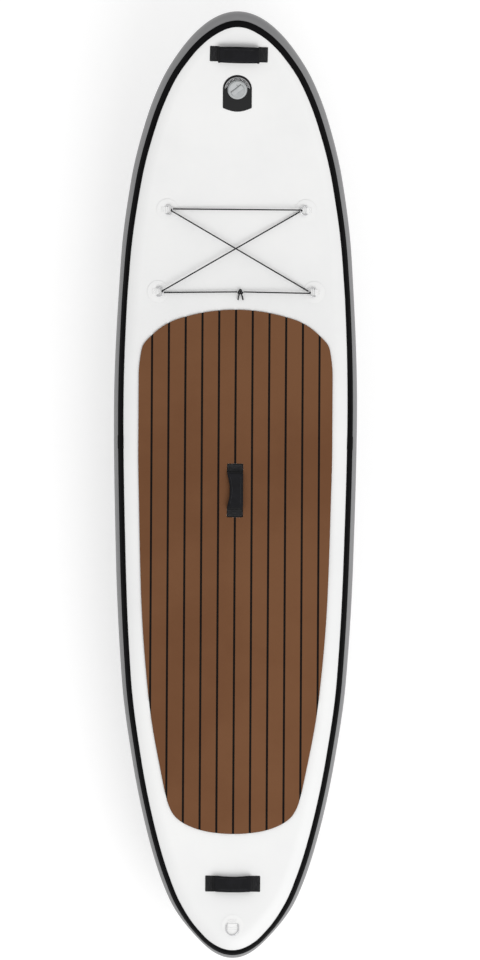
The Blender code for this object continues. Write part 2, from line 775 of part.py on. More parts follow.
knot_centre = Vector((knot_offset, lower_ring_y, knot_height))
knot_path = []
for step in range(24):
    turn = 2 * math.pi * step / 24
    knot_path.append(knot_centre + knot_size * Vector((math.sin(turn) + 2 * math.sin(2 * turn),
                                                       2 * math.cos(2 * turn) - math.cos(turn),
                                                       -0.75 * math.sin(3 * turn))))
knot = as_mesh(tube("bungee_knot", knot_path, bungee_diameter, bungee_cover, cyclic=True))
for side in (-1, 1):
    start = knot_centre + knot_size * Vector((side * 1.9, -1.2, 0))
    end = start + Vector((side * 0.001, -knot_tail, -0.003))
    tail_tube = tube(f"bungee_tail_{side + 2}", [start, start.lerp(end, 0.5), end], bungee_diameter, bungee_cover)
    boolean(knot, as_mesh(tail_tube, hidden=True), "UNION")


# Air valve
def valve_turned(name, profile, material, closed=True, steps=round_steps):
    thing = turned(name, profile, material, closed, steps)
    thing.matrix_world = valve_frame
    return thing


def valve_patch_outline():
    # Arched in front, straight at the sides and gently rounded at the back
    half = valve_patch_width / 2
    side_front = valve_patch_front - half
    side_back = -valve_patch_back + 0.013
    arch = [(half * math.cos(math.radians(a)), side_front + half * math.sin(math.radians(a)))
            for a in range(0, 181, 15)]
    back = [(-half + valve_patch_width * step / 6, side_back - 0.013 * math.sin(math.pi * step / 6))
            for step in range(7)]
    return arch + back


patch_low = hull_thickness + fit_gap
patch_outline = [(x, y + valve_y) for x, y in valve_patch_outline()]
bm = drape(prism_mesh(patch_outline, patch_low, patch_low + valve_patch_thickness))
valve_patch = add_mesh("valve_patch", bm, black_tape)
boolean(valve_patch, valve_hole("patch_valve_hole", valve_hole_radius, -0.02, 0.02))

flange_low = valve_patch_thickness + 2 * fit_gap + 0.0003
flange_top = flange_low + valve_flange_thickness
seat_low = -valve_seat_depth - valve_seat_thickness
body_profile = (
    (valve_flange_radius - 0.0008, flange_top), (valve_flange_radius, flange_top - 0.0008),
    (valve_flange_radius, flange_low), (valve_barrel_radius, flange_low),
    (valve_barrel_radius, -valve_depth), (valve_bore_radius, -valve_depth),
    (valve_bore_radius, seat_low), (valve_seat_radius, seat_low),
    (valve_seat_radius, -valve_seat_depth), (valve_bore_radius, -valve_seat_depth),
    (valve_bore_radius, flange_top),
)
valve_body = valve_turned("valve_body", body_profile, valve_plastic)
spider_top = -valve_seat_depth + 0.004
arm_reach = (valve_bore_radius + valve_barrel_radius) / 2
for index, arm_turn in enumerate((0, 60, 120)):
    arm = box_mesh((-arm_reach, -0.0013, spider_top - 0.0035), (arm_reach, 0.0013, spider_top))
    place = valve_frame @ Matrix.Rotation(math.radians(arm_turn + 10), 4, "Z")
    boolean(valve_body, add_cutter(f"valve_spider_{index}", arm, place), "UNION")
hub_low = spider_top - 0.0035
hub_top = hub_low + valve_hub_height + 0.0035
hub = cylinder_mesh(valve_hub_radius, hub_low - 0.0005, hub_top, 24)
boolean(valve_body, add_cutter("valve_hub", hub, valve_frame), "UNION")
hub_bore = cylinder_mesh(valve_stem_radius + fit_gap, hub_low - 0.01, hub_top + 0.01, 24)
boolean(valve_body, add_cutter("valve_hub_bore", hub_bore, valve_frame))

nut_top = -skin_thickness - fit_gap - 0.0004
nut_profile = (
    (valve_nut_radius, nut_top), (valve_nut_radius, nut_top - valve_nut_height),
    (valve_hole_radius, nut_top - valve_nut_height), (valve_hole_radius, nut_top),
)
valve_nut = valve_turned("valve_nut", nut_profile, valve_dark)
for index in range(6):
    place = valve_frame @ Matrix.Rotation(math.radians(60 * index + 30), 4, "Z")
    notch = box_mesh((valve_nut_radius - 0.003, -0.004, nut_top - 0.02), (valve_nut_radius + 0.01, 0.004, nut_top - 0.003))
    boolean(valve_nut, add_cutter(f"valve_nut_notch_{index}", notch, place))

diaphragm_top = seat_low - fit_gap
diaphragm_low = diaphragm_top - valve_diaphragm_thickness
diaphragm_profile = (
    (valve_diaphragm_radius, diaphragm_top), (valve_diaphragm_radius, diaphragm_low + 0.001),
    (valve_diaphragm_radius - 0.001, diaphragm_low), (valve_stem_radius + fit_gap, diaphragm_low),
    (valve_stem_radius + fit_gap, diaphragm_top),
)
valve_turned("valve_diaphragm", diaphragm_profile, seal_rubber)

button_top = -valve_button_depth
button_low = button_top - valve_button_height
foot_top = diaphragm_low - fit_gap
stem_profile = (
    (0.0, button_top), (valve_button_radius, button_top), (valve_button_radius, button_low),
    (valve_stem_radius, button_low), (valve_stem_radius, foot_top), (0.006, foot_top),
    (0.006, foot_top - 0.0015), (0.0, foot_top - 0.0015),
)
stem = valve_turned("valve_stem", stem_profile, valve_dark, closed=False, steps=24)
stem_bar = box_mesh((-0.0055, -0.0011, button_top - 0.001), (0.0055, 0.0011, button_top + 0.0012))
boolean(stem, add_cutter("valve_stem_bar", stem_bar, valve_frame), "UNION")

spring_low = hub_top + fit_gap + spring_wire / 2
spring_high = button_low - fit_gap - spring_wire / 2
coil = []
coil_steps = int(spring_turns * 8)
for step in range(coil_steps + 1):
    angle = 2 * math.pi * step / 8
    height = spring_low + (spring_high - spring_low) * step / coil_steps
    coil.append(valve_frame @ Vector((spring_radius * math.cos(angle), spring_radius * math.sin(angle), height)))
tube("valve_spring", coil, spring_wire, spring_steel)

cap_low = flange_top + fit_gap
cap_top = cap_low + valve_cap_height
plug_radius = valve_bore_radius - valve_clearance
groove_radius = plug_radius - 0.0014
cap_profile = (
    (0.0, cap_top), (valve_cap_radius - 0.0045, cap_top), (valve_cap_radius - 0.0012, cap_top - 0.0014),
    (valve_cap_radius, cap_top - 0.003), (valve_cap_radius, cap_low), (plug_radius, cap_low),
    (plug_radius, cap_low - 0.0017), (groove_radius, cap_low - 0.0017), (groove_radius, cap_low - 0.0037),
    (plug_radius, cap_low - 0.0037), (plug_radius, cap_low - 0.0050), (plug_radius - 0.003, cap_low - 0.0050),
    (plug_radius - 0.003, cap_low + 0.0018), (0.0, cap_low + 0.0018),
)
cap = valve_turned("valve_cap", cap_profile, valve_plastic, closed=False)
bar = box_mesh((-valve_cap_bar_length / 2, -valve_cap_bar_width / 2, cap_top - 0.001),
               (valve_cap_bar_length / 2, valve_cap_bar_width / 2, cap_top + valve_cap_bar_height))
bar_edges = [edge for edge in bar.edges if all(vert.co.z > cap_top for vert in edge.verts)]
bmesh.ops.bevel(bar, geom=bar_edges, offset=0.0015, segments=2, affect="EDGES", profile=0.5)
bar_place = valve_frame @ Matrix.Rotation(valve_cap_bar_angle, 4, "Z")
boolean(cap, add_cutter("valve_cap_bar", bar, bar_place), "UNION")

seal_middle = cap_low - 0.0027
seal_minor = 0.00072
seal_major = groove_radius + seal_minor + 0.00012
seal_profile = [(seal_major + seal_minor * math.cos(math.radians(-a)),
                 seal_middle + seal_minor * math.sin(math.radians(-a))) for a in range(-60, 300, 60)]
valve_turned("valve_cap_seal", seal_profile, seal_rubber)


# Fins
fin_box_y = tail_y + fin_box_reach
bottom = -fit_gap
flange_bottom = bottom - fin_flange_thickness
ridge_bottom = bottom - fin_flange_thickness - fin_box_height
slot_ceiling = ridge_bottom + fin_slot_depth
groove_low = ridge_bottom + fin_groove_depth
groove_high = groove_low + fin_groove_height
box_place = Matrix.Translation((0, fin_box_y, 0))

flange_outline = rounded_rectangle(fin_flange_width, fin_box_length + 2 * fin_flange_margin,
                                   fin_flange_width / 2 - 0.001, 6)
fin_box = add_mesh("fin_box", prism_mesh(flange_outline, flange_bottom, bottom), box_plastic)
fin_box.matrix_world = box_place
ridge = box_mesh((-fin_box_width / 2, -fin_box_length / 2, ridge_bottom),
                 (fin_box_width / 2, fin_box_length / 2, bottom - 0.001))
ridge_edges = [edge for edge in ridge.edges if all(vert.co.z < ridge_bottom + 0.001 for vert in edge.verts)]
bmesh.ops.bevel(ridge, geom=ridge_edges, offset=0.003, segments=2, affect="EDGES", profile=0.5)
boolean(fin_box, add_cutter("fin_box_ridge", ridge, box_place), "UNION")
slot = box_mesh((-fin_slot_width / 2, -fin_slot_length / 2, ridge_bottom - 0.01),
                (fin_slot_width / 2, fin_slot_length / 2, slot_ceiling))
boolean(fin_box, add_cutter("fin_box_slot", slot, box_place))
groove = box_mesh((-fin_groove_width / 2, -fin_slot_length / 2, groove_low),
                  (fin_groove_width / 2, fin_slot_length / 2, groove_high))
boolean(fin_box, add_cutter("fin_box_groove", groove, box_place))
entry = cylinder_mesh(fin_groove_width / 2, ridge_bottom - 0.01, groove_high, 24)
boolean(fin_box, add_cutter("fin_box_entry", entry, box_place @ Matrix.Translation((0, 0.012, 0))))


def foil_half_thickness(share):
    return 5 * (0.2969 * math.sqrt(share) - 0.126 * share - 0.3516 * share ** 2 + 0.2843 * share ** 3
                - 0.1036 * share ** 4)


def fin_mesh(root_chord, tip_chord, depth, rake, thickness, top, levels=7, chord_steps=7):
    # Loft of foil sections from the root down to the tip; the nose of each section looks to +Y
    bm = bmesh.new()
    rings = []
    for level in range(levels + 1):
        drop = math.sin(math.pi / 2 * level / levels)
        chord = tip_chord + (root_chord - tip_chord) * math.sqrt(max(0.0, 1 - drop ** 2))
        lead = root_chord / 2 - rake * drop ** 1.6 - (root_chord - chord) * 0.42
        thick = thickness / root_chord * chord / 2
        shares = [(1 - math.cos(math.pi * k / chord_steps)) / 2 for k in range(chord_steps + 1)]
        right = [(thick * max(foil_half_thickness(s) * 2, 0.05) if 0 < k < chord_steps else 0.0, lead - chord * s)
                 for k, s in enumerate(shares)]
        left = [(-x, y) for x, y in reversed(right[1:-1])]
        rings.append([bm.verts.new((x, y, top - depth * drop)) for x, y in right + left])
    for first, second in zip(rings, rings[1:]):
        for k in range(len(first)):
            after = (k + 1) % len(first)
            bm.faces.new((first[k], first[after], second[after], second[k]))
    bm.faces.new(rings[0])
    bm.faces.new(rings[-1])
    return bm


tab_half = fin_slot_width / 2 - fin_running_gap
tab_top = ridge_bottom + fin_tab_height
blade_top = ridge_bottom + 0.004
fin = add_mesh("centre_fin", fin_mesh(fin_root_chord, fin_tip_chord, fin_depth, fin_rake, tab_half * 1.9, blade_top),
               fin_plastic)
fin.matrix_world = box_place
tab = box_mesh((-tab_half, -fin_tab_length / 2, ridge_bottom - 0.0005), (tab_half, fin_tab_length / 2, tab_top))
boolean(fin, add_cutter("fin_tab", tab, box_place), "UNION")
lug_low = ridge_bottom + 0.0028
lug_high = lug_low + fin_lug_thickness
screw_y = fin_tab_length / 2 + fin_lug_length / 2
lug = box_mesh((-tab_half, fin_tab_length / 2 - 0.002, lug_low),
               (tab_half, fin_tab_length / 2 + fin_lug_length, lug_high))
boolean(fin, add_cutter("fin_lug", lug, box_place), "UNION")
screw_place = box_place @ Matrix.Translation((0, screw_y, 0))
lug_hole = cylinder_mesh(fin_screw_radius + fit_gap, lug_low - 0.01, lug_high + 0.002, 20)
boolean(fin, add_cutter("fin_lug_hole", lug_hole, screw_place))
pin_middle = (groove_low + groove_high) / 2
pin_reach = fin_groove_width / 2 - fin_running_gap
pin_place = box_place @ Matrix.Translation((0, -fin_tab_length / 2 + 0.008, pin_middle))
boolean(fin, add_cutter("fin_pin", cylinder_mesh(fin_pin_radius, -pin_reach, pin_reach, 12, "X"), pin_place), "UNION")

plate_low = groove_low + fit_gap
plate_high = plate_low + fin_plate_thickness
plate = add_mesh("fin_nut_plate", box_mesh((-pin_reach, -fin_plate_length / 2, plate_low),
                                           (pin_reach, fin_plate_length / 2, plate_high)), plate_brass)
plate.matrix_world = screw_place
plate_hole = cylinder_mesh(fin_screw_radius + fit_gap, plate_low - 0.01, plate_high + 0.01, 20)
boolean(plate, add_cutter("fin_plate_hole", plate_hole, screw_place))

head_top = lug_low - fit_gap
head_low = head_top - fin_screw_head_height
screw_profile = (
    (0.0, plate_high - 0.0004), (fin_screw_radius, plate_high - 0.0004), (fin_screw_radius, head_top),
    (fin_screw_head_radius, head_top), (fin_screw_head_radius, head_low + 0.0006),
    (fin_screw_head_radius - 0.0008, head_low), (0.0, head_low),
)
screw = turned("fin_screw", screw_profile, screw_steel, closed=False, steps=20)
screw.matrix_world = screw_place
slit = box_mesh((-0.006, -0.0005, head_low - 0.001), (0.006, 0.0005, head_low + 0.0009))
boolean(screw, add_cutter("fin_screw_slit", slit, screw_place))

# Side fins: moulded with their base and glued on, toed in towards the nose
side_base_low = bottom - side_fin_base_thickness
for side, word in ((-1, "left"), (1, "right")):
    place = Matrix.Translation((side * side_fin_offset, tail_y + side_fin_reach, 0))
    place = place @ Matrix.Rotation(side * side_fin_toe_in, 4, "Z")
    base_outline = rounded_rectangle(side_fin_base_width, side_fin_base_length, side_fin_base_width / 2 - 0.001, 5)
    side_fin = add_mesh(f"side_fin_{word}", prism_mesh(base_outline, side_base_low, bottom), fin_plastic)
    side_fin.matrix_world = place
    blade = fin_mesh(side_fin_chord, side_fin_tip_chord, side_fin_depth, side_fin_rake, 0.008,
                     side_base_low + 0.001, levels=5, chord_steps=6)
    boolean(side_fin, add_cutter(f"side_fin_blade_{word}", blade, place), "UNION")
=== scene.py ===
import math
from functools import lru_cache

import bmesh
import bpy
from mathutils import Matrix, Vector


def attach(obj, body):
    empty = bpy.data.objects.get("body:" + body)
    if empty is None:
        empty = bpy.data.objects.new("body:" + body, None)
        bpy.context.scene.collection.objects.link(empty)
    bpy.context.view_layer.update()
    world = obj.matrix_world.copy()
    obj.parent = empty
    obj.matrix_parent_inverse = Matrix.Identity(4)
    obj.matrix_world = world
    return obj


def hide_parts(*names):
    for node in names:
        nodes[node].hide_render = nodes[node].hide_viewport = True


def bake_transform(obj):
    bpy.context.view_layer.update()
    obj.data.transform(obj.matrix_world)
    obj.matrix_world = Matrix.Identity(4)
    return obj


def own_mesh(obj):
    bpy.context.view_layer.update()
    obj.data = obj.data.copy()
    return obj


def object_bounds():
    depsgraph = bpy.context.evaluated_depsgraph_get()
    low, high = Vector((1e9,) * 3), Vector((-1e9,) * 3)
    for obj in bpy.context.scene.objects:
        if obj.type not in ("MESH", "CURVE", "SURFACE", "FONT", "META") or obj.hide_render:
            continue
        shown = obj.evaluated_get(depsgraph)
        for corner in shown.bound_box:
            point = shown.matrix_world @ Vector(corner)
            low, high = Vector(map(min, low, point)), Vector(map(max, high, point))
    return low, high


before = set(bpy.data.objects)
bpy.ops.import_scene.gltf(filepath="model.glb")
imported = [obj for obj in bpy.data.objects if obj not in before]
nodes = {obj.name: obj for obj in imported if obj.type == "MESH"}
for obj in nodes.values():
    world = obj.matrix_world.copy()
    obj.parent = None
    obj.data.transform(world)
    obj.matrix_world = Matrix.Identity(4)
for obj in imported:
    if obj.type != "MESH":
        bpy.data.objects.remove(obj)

cadBox = [list(corner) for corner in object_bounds()]
print("frame loaded:", len(nodes), "nodes")


# Camera: straight above the board and far off, turned a hair as in the photograph
view = {"aim": (0.0167, 0.0355), "height": 72.075, "turn": 0.0059, "lens": 796.86, "film": 36, "clip": 200}

cameraData = bpy.data.cameras.new("topCamera")
cameraData.lens = view["lens"]
cameraData.sensor_width = view["film"]
cameraData.clip_end = view["clip"]
camera = bpy.data.objects.new("topCamera", cameraData)
camera.location = (*view["aim"], view["height"])
camera.rotation_euler = (0, 0, view["turn"])
bpy.context.scene.collection.objects.link(camera)
bpy.context.scene.camera = camera
bpy.context.scene.view_settings.view_transform = "Standard"


# Node helpers
def addNode(tree, kind, options=None, inputs=None):
    node = tree.nodes.new(kind)
    for key, value in (options or {}).items():
        setattr(node, key, value)
    for key, value in (inputs or {}).items():
        if isinstance(value, bpy.types.NodeSocket):
            tree.links.new(value, node.inputs[key])
        else:
            node.inputs[key].default_value = value
    return node


def mathOut(tree, operation, first, second=0.0, third=0.0):
    node = addNode(tree, "ShaderNodeMath", {"operation": operation}, {0: first, 1: second, 2: third})
    return node.outputs[0]


def newGroup(name, inputs, outputs):
    group = bpy.data.node_groups.new(name, "ShaderNodeTree")
    for label, value in inputs.items():
        kind = "NodeSocketVector" if value is None else "NodeSocketFloat"
        socket = group.interface.new_socket(name=label, in_out="INPUT", socket_type=kind)
        if value is not None:
            socket.default_value = value
    for label in outputs:
        group.interface.new_socket(name=label, in_out="OUTPUT", socket_type="NodeSocketFloat")
    return group, addNode(group, "NodeGroupInput").outputs, addNode(group, "NodeGroupOutput").inputs


# Shared surface effects: each gives a height or a mask that changes over the surface
def makeGrainGroup():
    # Fine pebbled grain of coated cloth, rubber and moulded plastic
    group, given, result = newGroup("grain", {"Vector": None, "Scale": 400.0, "Detail": 3.0}, ["Height"])
    noise = addNode(group, "ShaderNodeTexNoise", None,
                    {"Vector": given["Vector"], "Scale": given["Scale"], "Detail": given["Detail"]})
    cells = addNode(group, "ShaderNodeTexVoronoi", {"feature": "SMOOTH_F1"},
                    {"Vector": given["Vector"], "Scale": mathOut(group, "MULTIPLY", given["Scale"], 0.6)})
    pebble = mathOut(group, "SUBTRACT", 1.0, cells.outputs["Distance"])
    mixed = mathOut(group, "MULTIPLY_ADD", noise.outputs[0], 0.5, mathOut(group, "MULTIPLY", pebble, 0.5))
    group.links.new(mixed, result["Height"])
    return group


def makeWeaveGroup():
    # Threads that pass over and under one another; warp and weft are threads in a metre
    group, given, result = newGroup("weave", {"Vector": None, "Warp": 500.0, "Weft": 500.0}, ["Height"])
    parts = addNode(group, "ShaderNodeSeparateXYZ", None, {0: given["Vector"]}).outputs
    across = mathOut(group, "MULTIPLY", mathOut(group, "MULTIPLY", parts[0], given["Warp"]), math.pi)
    along = mathOut(group, "MULTIPLY", mathOut(group, "MULTIPLY", parts[1], given["Weft"]), math.pi)
    crossing = mathOut(group, "MULTIPLY", mathOut(group, "SINE", across), mathOut(group, "SINE", along))
    group.links.new(mathOut(group, "MULTIPLY_ADD", crossing, 0.5, 0.5), result["Height"])
    return group


def makeBraidGroup():
    # Diagonal strands of a braided cover; the vector is the piece's own map in metres
    group, given, result = newGroup("braid", {"Vector": None, "Strands": 700.0}, ["Height"])
    parts = addNode(group, "ShaderNodeSeparateXYZ", None, {0: given["Vector"]}).outputs
    first = mathOut(group, "ADD", parts[0], parts[1])
    second = mathOut(group, "SUBTRACT", parts[0], parts[1])
    waves = [mathOut(group, "SINE", mathOut(group, "MULTIPLY", run, given["Strands"]))
             for run in (first, second)]
    group.links.new(mathOut(group, "ABSOLUTE", mathOut(group, "MULTIPLY", *waves)), result["Height"])
    return group


def makeMottleGroup():
    # Slow cloudy change of tone and gloss, as handling and dust leave it
    group, given, result = newGroup("mottle", {"Vector": None, "Scale": 4.0, "Edge": 0.18}, ["Mask"])
    noise = addNode(group, "ShaderNodeTexNoise", None,
                    {"Vector": given["Vector"], "Scale": given["Scale"], "Detail": 5.0, "Roughness": 0.6})
    low = mathOut(group, "SUBTRACT", 0.5, given["Edge"])
    high = mathOut(group, "ADD", 0.5, given["Edge"])
    spread = addNode(group, "ShaderNodeMapRange", {"interpolation_type": "SMOOTHSTEP"},
                     {"Value": noise.outputs[0], "From Min": low, "From Max": high})
    group.links.new(spread.outputs[0], result["Mask"])
    return group


def makeBrushedGroup():
    # Long fine lines of drawn wire, cut foam and polished metal
    group, given, result = newGroup("brushed", {"Vector": None, "Fine": 900.0, "Long": 12.0}, ["Height"])
    parts = addNode(group, "ShaderNodeSeparateXYZ", None, {0: given["Vector"]}).outputs
    stretched = addNode(group, "ShaderNodeCombineXYZ", None, {
        0: mathOut(group, "MULTIPLY", parts[0], given["Fine"]),
        1: mathOut(group, "MULTIPLY", parts[1], given["Long"]),
        2: mathOut(group, "MULTIPLY", parts[2], given["Fine"])})
    noise = addNode(group, "ShaderNodeTexNoise", None,
                    {"Vector": stretched.outputs[0], "Scale": 1.0, "Detail": 2.0})
    group.links.new(noise.outputs[0], result["Height"])
    return group


grain = makeGrainGroup()
weave = makeWeaveGroup()
braid = makeBraidGroup()
mottle = makeMottleGroup()
brushed = makeBrushedGroup()


def makeFinish(name, colour, shade, rough, pattern, values, bump, coords="Object", clouds=4.0, sockets=None):
    # Colour and gloss drift between two values over the clouds; the pattern gives the bump
    material = bpy.data.materials.new(name)
    material.use_nodes = True
    tree = material.node_tree
    shader = tree.nodes["Principled BSDF"]
    place = addNode(tree, "ShaderNodeTexCoord").outputs
    drift = addNode(tree, "ShaderNodeGroup", {"node_tree": mottle},
                    {"Vector": place["Object"], "Scale": clouds})
    mix = addNode(tree, "ShaderNodeMix", {"data_type": "RGBA"},
                  {0: drift.outputs[0], 6: (*colour, 1.0), 7: (*shade, 1.0)})
    tree.links.new(mix.outputs[2], shader.inputs["Base Color"])
    gloss = addNode(tree, "ShaderNodeMapRange", None,
                    {"Value": drift.outputs[0], "To Min": rough[0], "To Max": rough[1]})
    tree.links.new(gloss.outputs[0], shader.inputs["Roughness"])
    relief = addNode(tree, "ShaderNodeGroup", {"node_tree": pattern}, {"Vector": place[coords], **values})
    dent = addNode(tree, "ShaderNodeBump", None,
                   {"Height": relief.outputs[0], "Strength": bump[0], "Distance": bump[1]})
    tree.links.new(dent.outputs[0], shader.inputs["Normal"])
    for key, value in (sockets or {}).items():
        shader.inputs[key].default_value = value
    material.diffuse_color = (*colour, 1.0)
    return material


# Each has two colours, a range of roughness, a pattern with its values, and its bump's strength and depth
finishes = {
    "deck": makeFinish("coatedDeckCloth", (0.85, 0.85, 0.845), (0.81, 0.812, 0.81), (0.42, 0.52),
                       weave, {"Warp": 330.0, "Weft": 330.0}, (0.25, 0.00012), clouds=2.2),
    "rail": makeFinish("coatedRailCloth", (0.200, 0.200, 0.204), (0.250, 0.250, 0.254), (0.38, 0.5),
                       grain, {"Scale": 700.0}, (0.3, 0.0001), clouds=2.5),
    "tape": makeFinish("seamTape", (0.0028, 0.0028, 0.0030), (0.0046, 0.0046, 0.0050), (0.36, 0.5),
                       grain, {"Scale": 900.0}, (0.3, 0.0001), clouds=6.0,
                       sockets={"Specular IOR Level": 0.035}),
    "pad": makeFinish("brownFoam", (0.143, 0.061, 0.027), (0.171, 0.077, 0.036), (0.82, 0.92),
                      grain, {"Scale": 900.0, "Detail": 4.0}, (0.5, 0.0002), clouds=2.0,
                      sockets={"Specular IOR Level": 0.12}),
    "padBase": makeFinish("blackFoam", (0.006, 0.005, 0.005), (0.010, 0.009, 0.008), (0.9, 0.97),
                          grain, {"Scale": 900.0}, (0.5, 0.0002), clouds=8.0,
                          sockets={"Specular IOR Level": 0.15}),
    "core": makeFinish("stitchedCore", (0.70, 0.69, 0.65), (0.62, 0.61, 0.57), (0.85, 0.95),
                       weave, {"Warp": 250.0, "Weft": 250.0}, (0.8, 0.0004), clouds=5.0),
    "webbing": makeFinish("blackWebbing", (0.012, 0.012, 0.013), (0.020, 0.020, 0.021), (0.72, 0.85),
                          weave, {"Warp": 900.0, "Weft": 450.0}, (0.9, 0.0004), coords="UV", clouds=40.0,
                          sockets={"Specular IOR Level": 0.15}),
    "neoprene": makeFinish("blackNeoprene", (0.008, 0.008, 0.009), (0.013, 0.013, 0.015), (0.78, 0.9),
                           weave, {"Warp": 1100.0, "Weft": 1100.0}, (0.6, 0.0002), coords="UV", clouds=30.0,
                           sockets={"Specular IOR Level": 0.12}),
    "binding": makeFinish("blackBinding", (0.008, 0.008, 0.009), (0.014, 0.014, 0.015), (0.6, 0.75),
                          weave, {"Warp": 1400.0, "Weft": 700.0}, (0.8, 0.0002), coords="UV", clouds=30.0,
                          sockets={"Specular IOR Level": 0.15}),
    "thread": makeFinish("stitchThread", (0.030, 0.030, 0.032), (0.050, 0.050, 0.052), (0.5, 0.65),
                         grain, {"Scale": 3000.0}, (0.4, 0.0001), clouds=60.0),
    "blackPatch": makeFinish("blackPatch", (0.007, 0.007, 0.0075), (0.011, 0.011, 0.0115), (0.45, 0.6),
                             grain, {"Scale": 800.0}, (0.4, 0.0001), clouds=20.0,
                             sockets={"Specular IOR Level": 0.15}),
    "patchFace": makeFinish("darkPatchFace", (0.009, 0.0093, 0.0097), (0.013, 0.0133, 0.0137), (0.45, 0.58),
                            grain, {"Scale": 1000.0}, (0.4, 0.0001), clouds=25.0,
                            sockets={"Specular IOR Level": 0.15}),
    "whitePatch": makeFinish("whitePatch", (0.85, 0.85, 0.845), (0.82, 0.82, 0.817), (0.42, 0.52),
                             grain, {"Scale": 700.0}, (0.35, 0.0001), clouds=15.0),
    "print": makeFinish("greyPrint", (0.52, 0.52, 0.53), (0.60, 0.60, 0.61), (0.45, 0.55),
                        grain, {"Scale": 900.0}, (0.3, 0.00005), clouds=60.0),
    "steel": makeFinish("ringSteel", (0.60, 0.60, 0.61), (0.50, 0.50, 0.51), (0.24, 0.34),
                        brushed, {"Fine": 2500.0, "Long": 60.0}, (0.1, 0.00005), clouds=30.0,
                        sockets={"Metallic": 1.0}),
    "cord": makeFinish("bungeeCover", (0.012, 0.012, 0.013), (0.022, 0.022, 0.024), (0.65, 0.8),
                       braid, {"Strands": 1400.0}, (0.9, 0.0003), coords="UV", clouds=40.0,
                       sockets={"Specular IOR Level": 0.15}),
    "valve": makeFinish("greyValvePlastic", (0.43, 0.447, 0.454), (0.485, 0.50, 0.505), (0.3, 0.42),
                        grain, {"Scale": 1500.0}, (0.25, 0.00008), clouds=35.0),
    "valveDark": makeFinish("darkPlastic", (0.030, 0.030, 0.032), (0.042, 0.042, 0.044), (0.35, 0.5),
                            grain, {"Scale": 1200.0}, (0.3, 0.0001), clouds=30.0),
    "rubber": makeFinish("sealRubber", (0.015, 0.015, 0.015), (0.026, 0.026, 0.026), (0.6, 0.75),
                         grain, {"Scale": 1500.0}, (0.4, 0.0001), clouds=40.0),
    "fin": makeFinish("finNylon", (0.020, 0.020, 0.022), (0.032, 0.032, 0.034), (0.28, 0.42),
                      grain, {"Scale": 1400.0}, (0.25, 0.0001), clouds=12.0),
    "finBox": makeFinish("finBoxPlastic", (0.035, 0.035, 0.037), (0.050, 0.050, 0.052), (0.4, 0.55),
                         grain, {"Scale": 1000.0}, (0.4, 0.00012), clouds=18.0),
    "brass": makeFinish("plateBrass", (0.62, 0.43, 0.17), (0.48, 0.33, 0.13), (0.25, 0.4),
                        brushed, {"Fine": 2500.0, "Long": 80.0}, (0.2, 0.00005), clouds=50.0,
                        sockets={"Metallic": 1.0}),
}
print("finishes made:", len(finishes))


# Mesh helpers
meshing = {"merge": 0.000001, "sharpAngle": 35, "edgeAngle": 40, "edgeSegments": 2}


def shapedGrid(columns, rows, place, size):
    # A flat grid whose points are moved into shape; place() gets two shares, across and along
    bm = bmesh.new()
    flat = bm.loops.layers.uv.new("UVMap")
    bmesh.ops.create_grid(bm, x_segments=columns, y_segments=rows, size=0.5, calc_uvs=True)
    for vert in bm.verts:
        vert.co = place(vert.co.x + 0.5, vert.co.y + 0.5)
    for face in bm.faces:
        for loop in face.loops:
            loop[flat].uv = (loop[flat].uv[0] * size[0], loop[flat].uv[1] * size[1])
    bmesh.ops.remove_doubles(bm, verts=bm.verts, dist=meshing["merge"])
    return bm


def pourInto(target, source, matrix=None):
    # Adds one mesh to another, so that a piece can be put together from simple shapes
    data = bpy.data.meshes.new("part")
    if matrix is not None:
        bmesh.ops.transform(source, matrix=matrix, verts=source.verts)
    source.to_mesh(data)
    source.free()
    target.from_mesh(data)
    bpy.data.meshes.remove(data)


def makePiece(name, bm, finish, body, replaces=(), inside=None, place=None):
    # A named piece with its finish, body and solids; its faces look away from the point inside
    bmesh.ops.recalc_face_normals(bm, faces=bm.faces)
    if inside is not None:
        facing = sum(face.normal.dot(face.calc_center_median() - inside) for face in bm.faces)
        if facing < 0:
            bmesh.ops.reverse_faces(bm, faces=bm.faces)
    if place is not None:
        bmesh.ops.transform(bm, matrix=place, verts=bm.verts)
    data = bpy.data.meshes.new(name)
    bm.to_mesh(data)
    bm.free()
    data.shade_smooth()
    data.set_sharp_from_angle(angle=math.radians(meshing["sharpAngle"]))
    piece = bpy.data.objects.new(name, data)
    bpy.context.scene.collection.objects.link(piece)
    data.materials.append(finishes[finish])
    if body:
        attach(piece, body)
    if replaces:
        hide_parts(*replaces)
    return piece


def addWall(piece, thickness):
    # Thickens a shell inwards
    wall = piece.modifiers.new("wall", "SOLIDIFY")
    wall.thickness = thickness
    wall.offset = -1.0
    wall.use_even_offset = True


def addSoftEdge(piece, width):
    # Rounds the edges of a plate
    edge = piece.modifiers.new("softEdge", "BEVEL")
    edge.width = width
    edge.segments = meshing["edgeSegments"]
    edge.limit_method = "ANGLE"
    edge.angle_limit = math.radians(meshing["edgeAngle"])
    edge.harden_normals = True


def boxShape(low, high):
    bm = bmesh.new()
    middle = (Vector(low) + Vector(high)) / 2
    size = Vector(high) - Vector(low)
    bmesh.ops.create_cube(bm, size=1.0, matrix=Matrix.Translation(middle) @ Matrix.Diagonal((*size, 1.0)))
    return bm


def rodShape(radius, low, high, steps=48):
    bm = bmesh.new()
    bmesh.ops.create_cone(bm, cap_ends=True, segments=steps, radius1=radius, radius2=radius, depth=high - low,
                          matrix=Matrix.Translation((0, 0, (low + high) / 2)))
    return bm


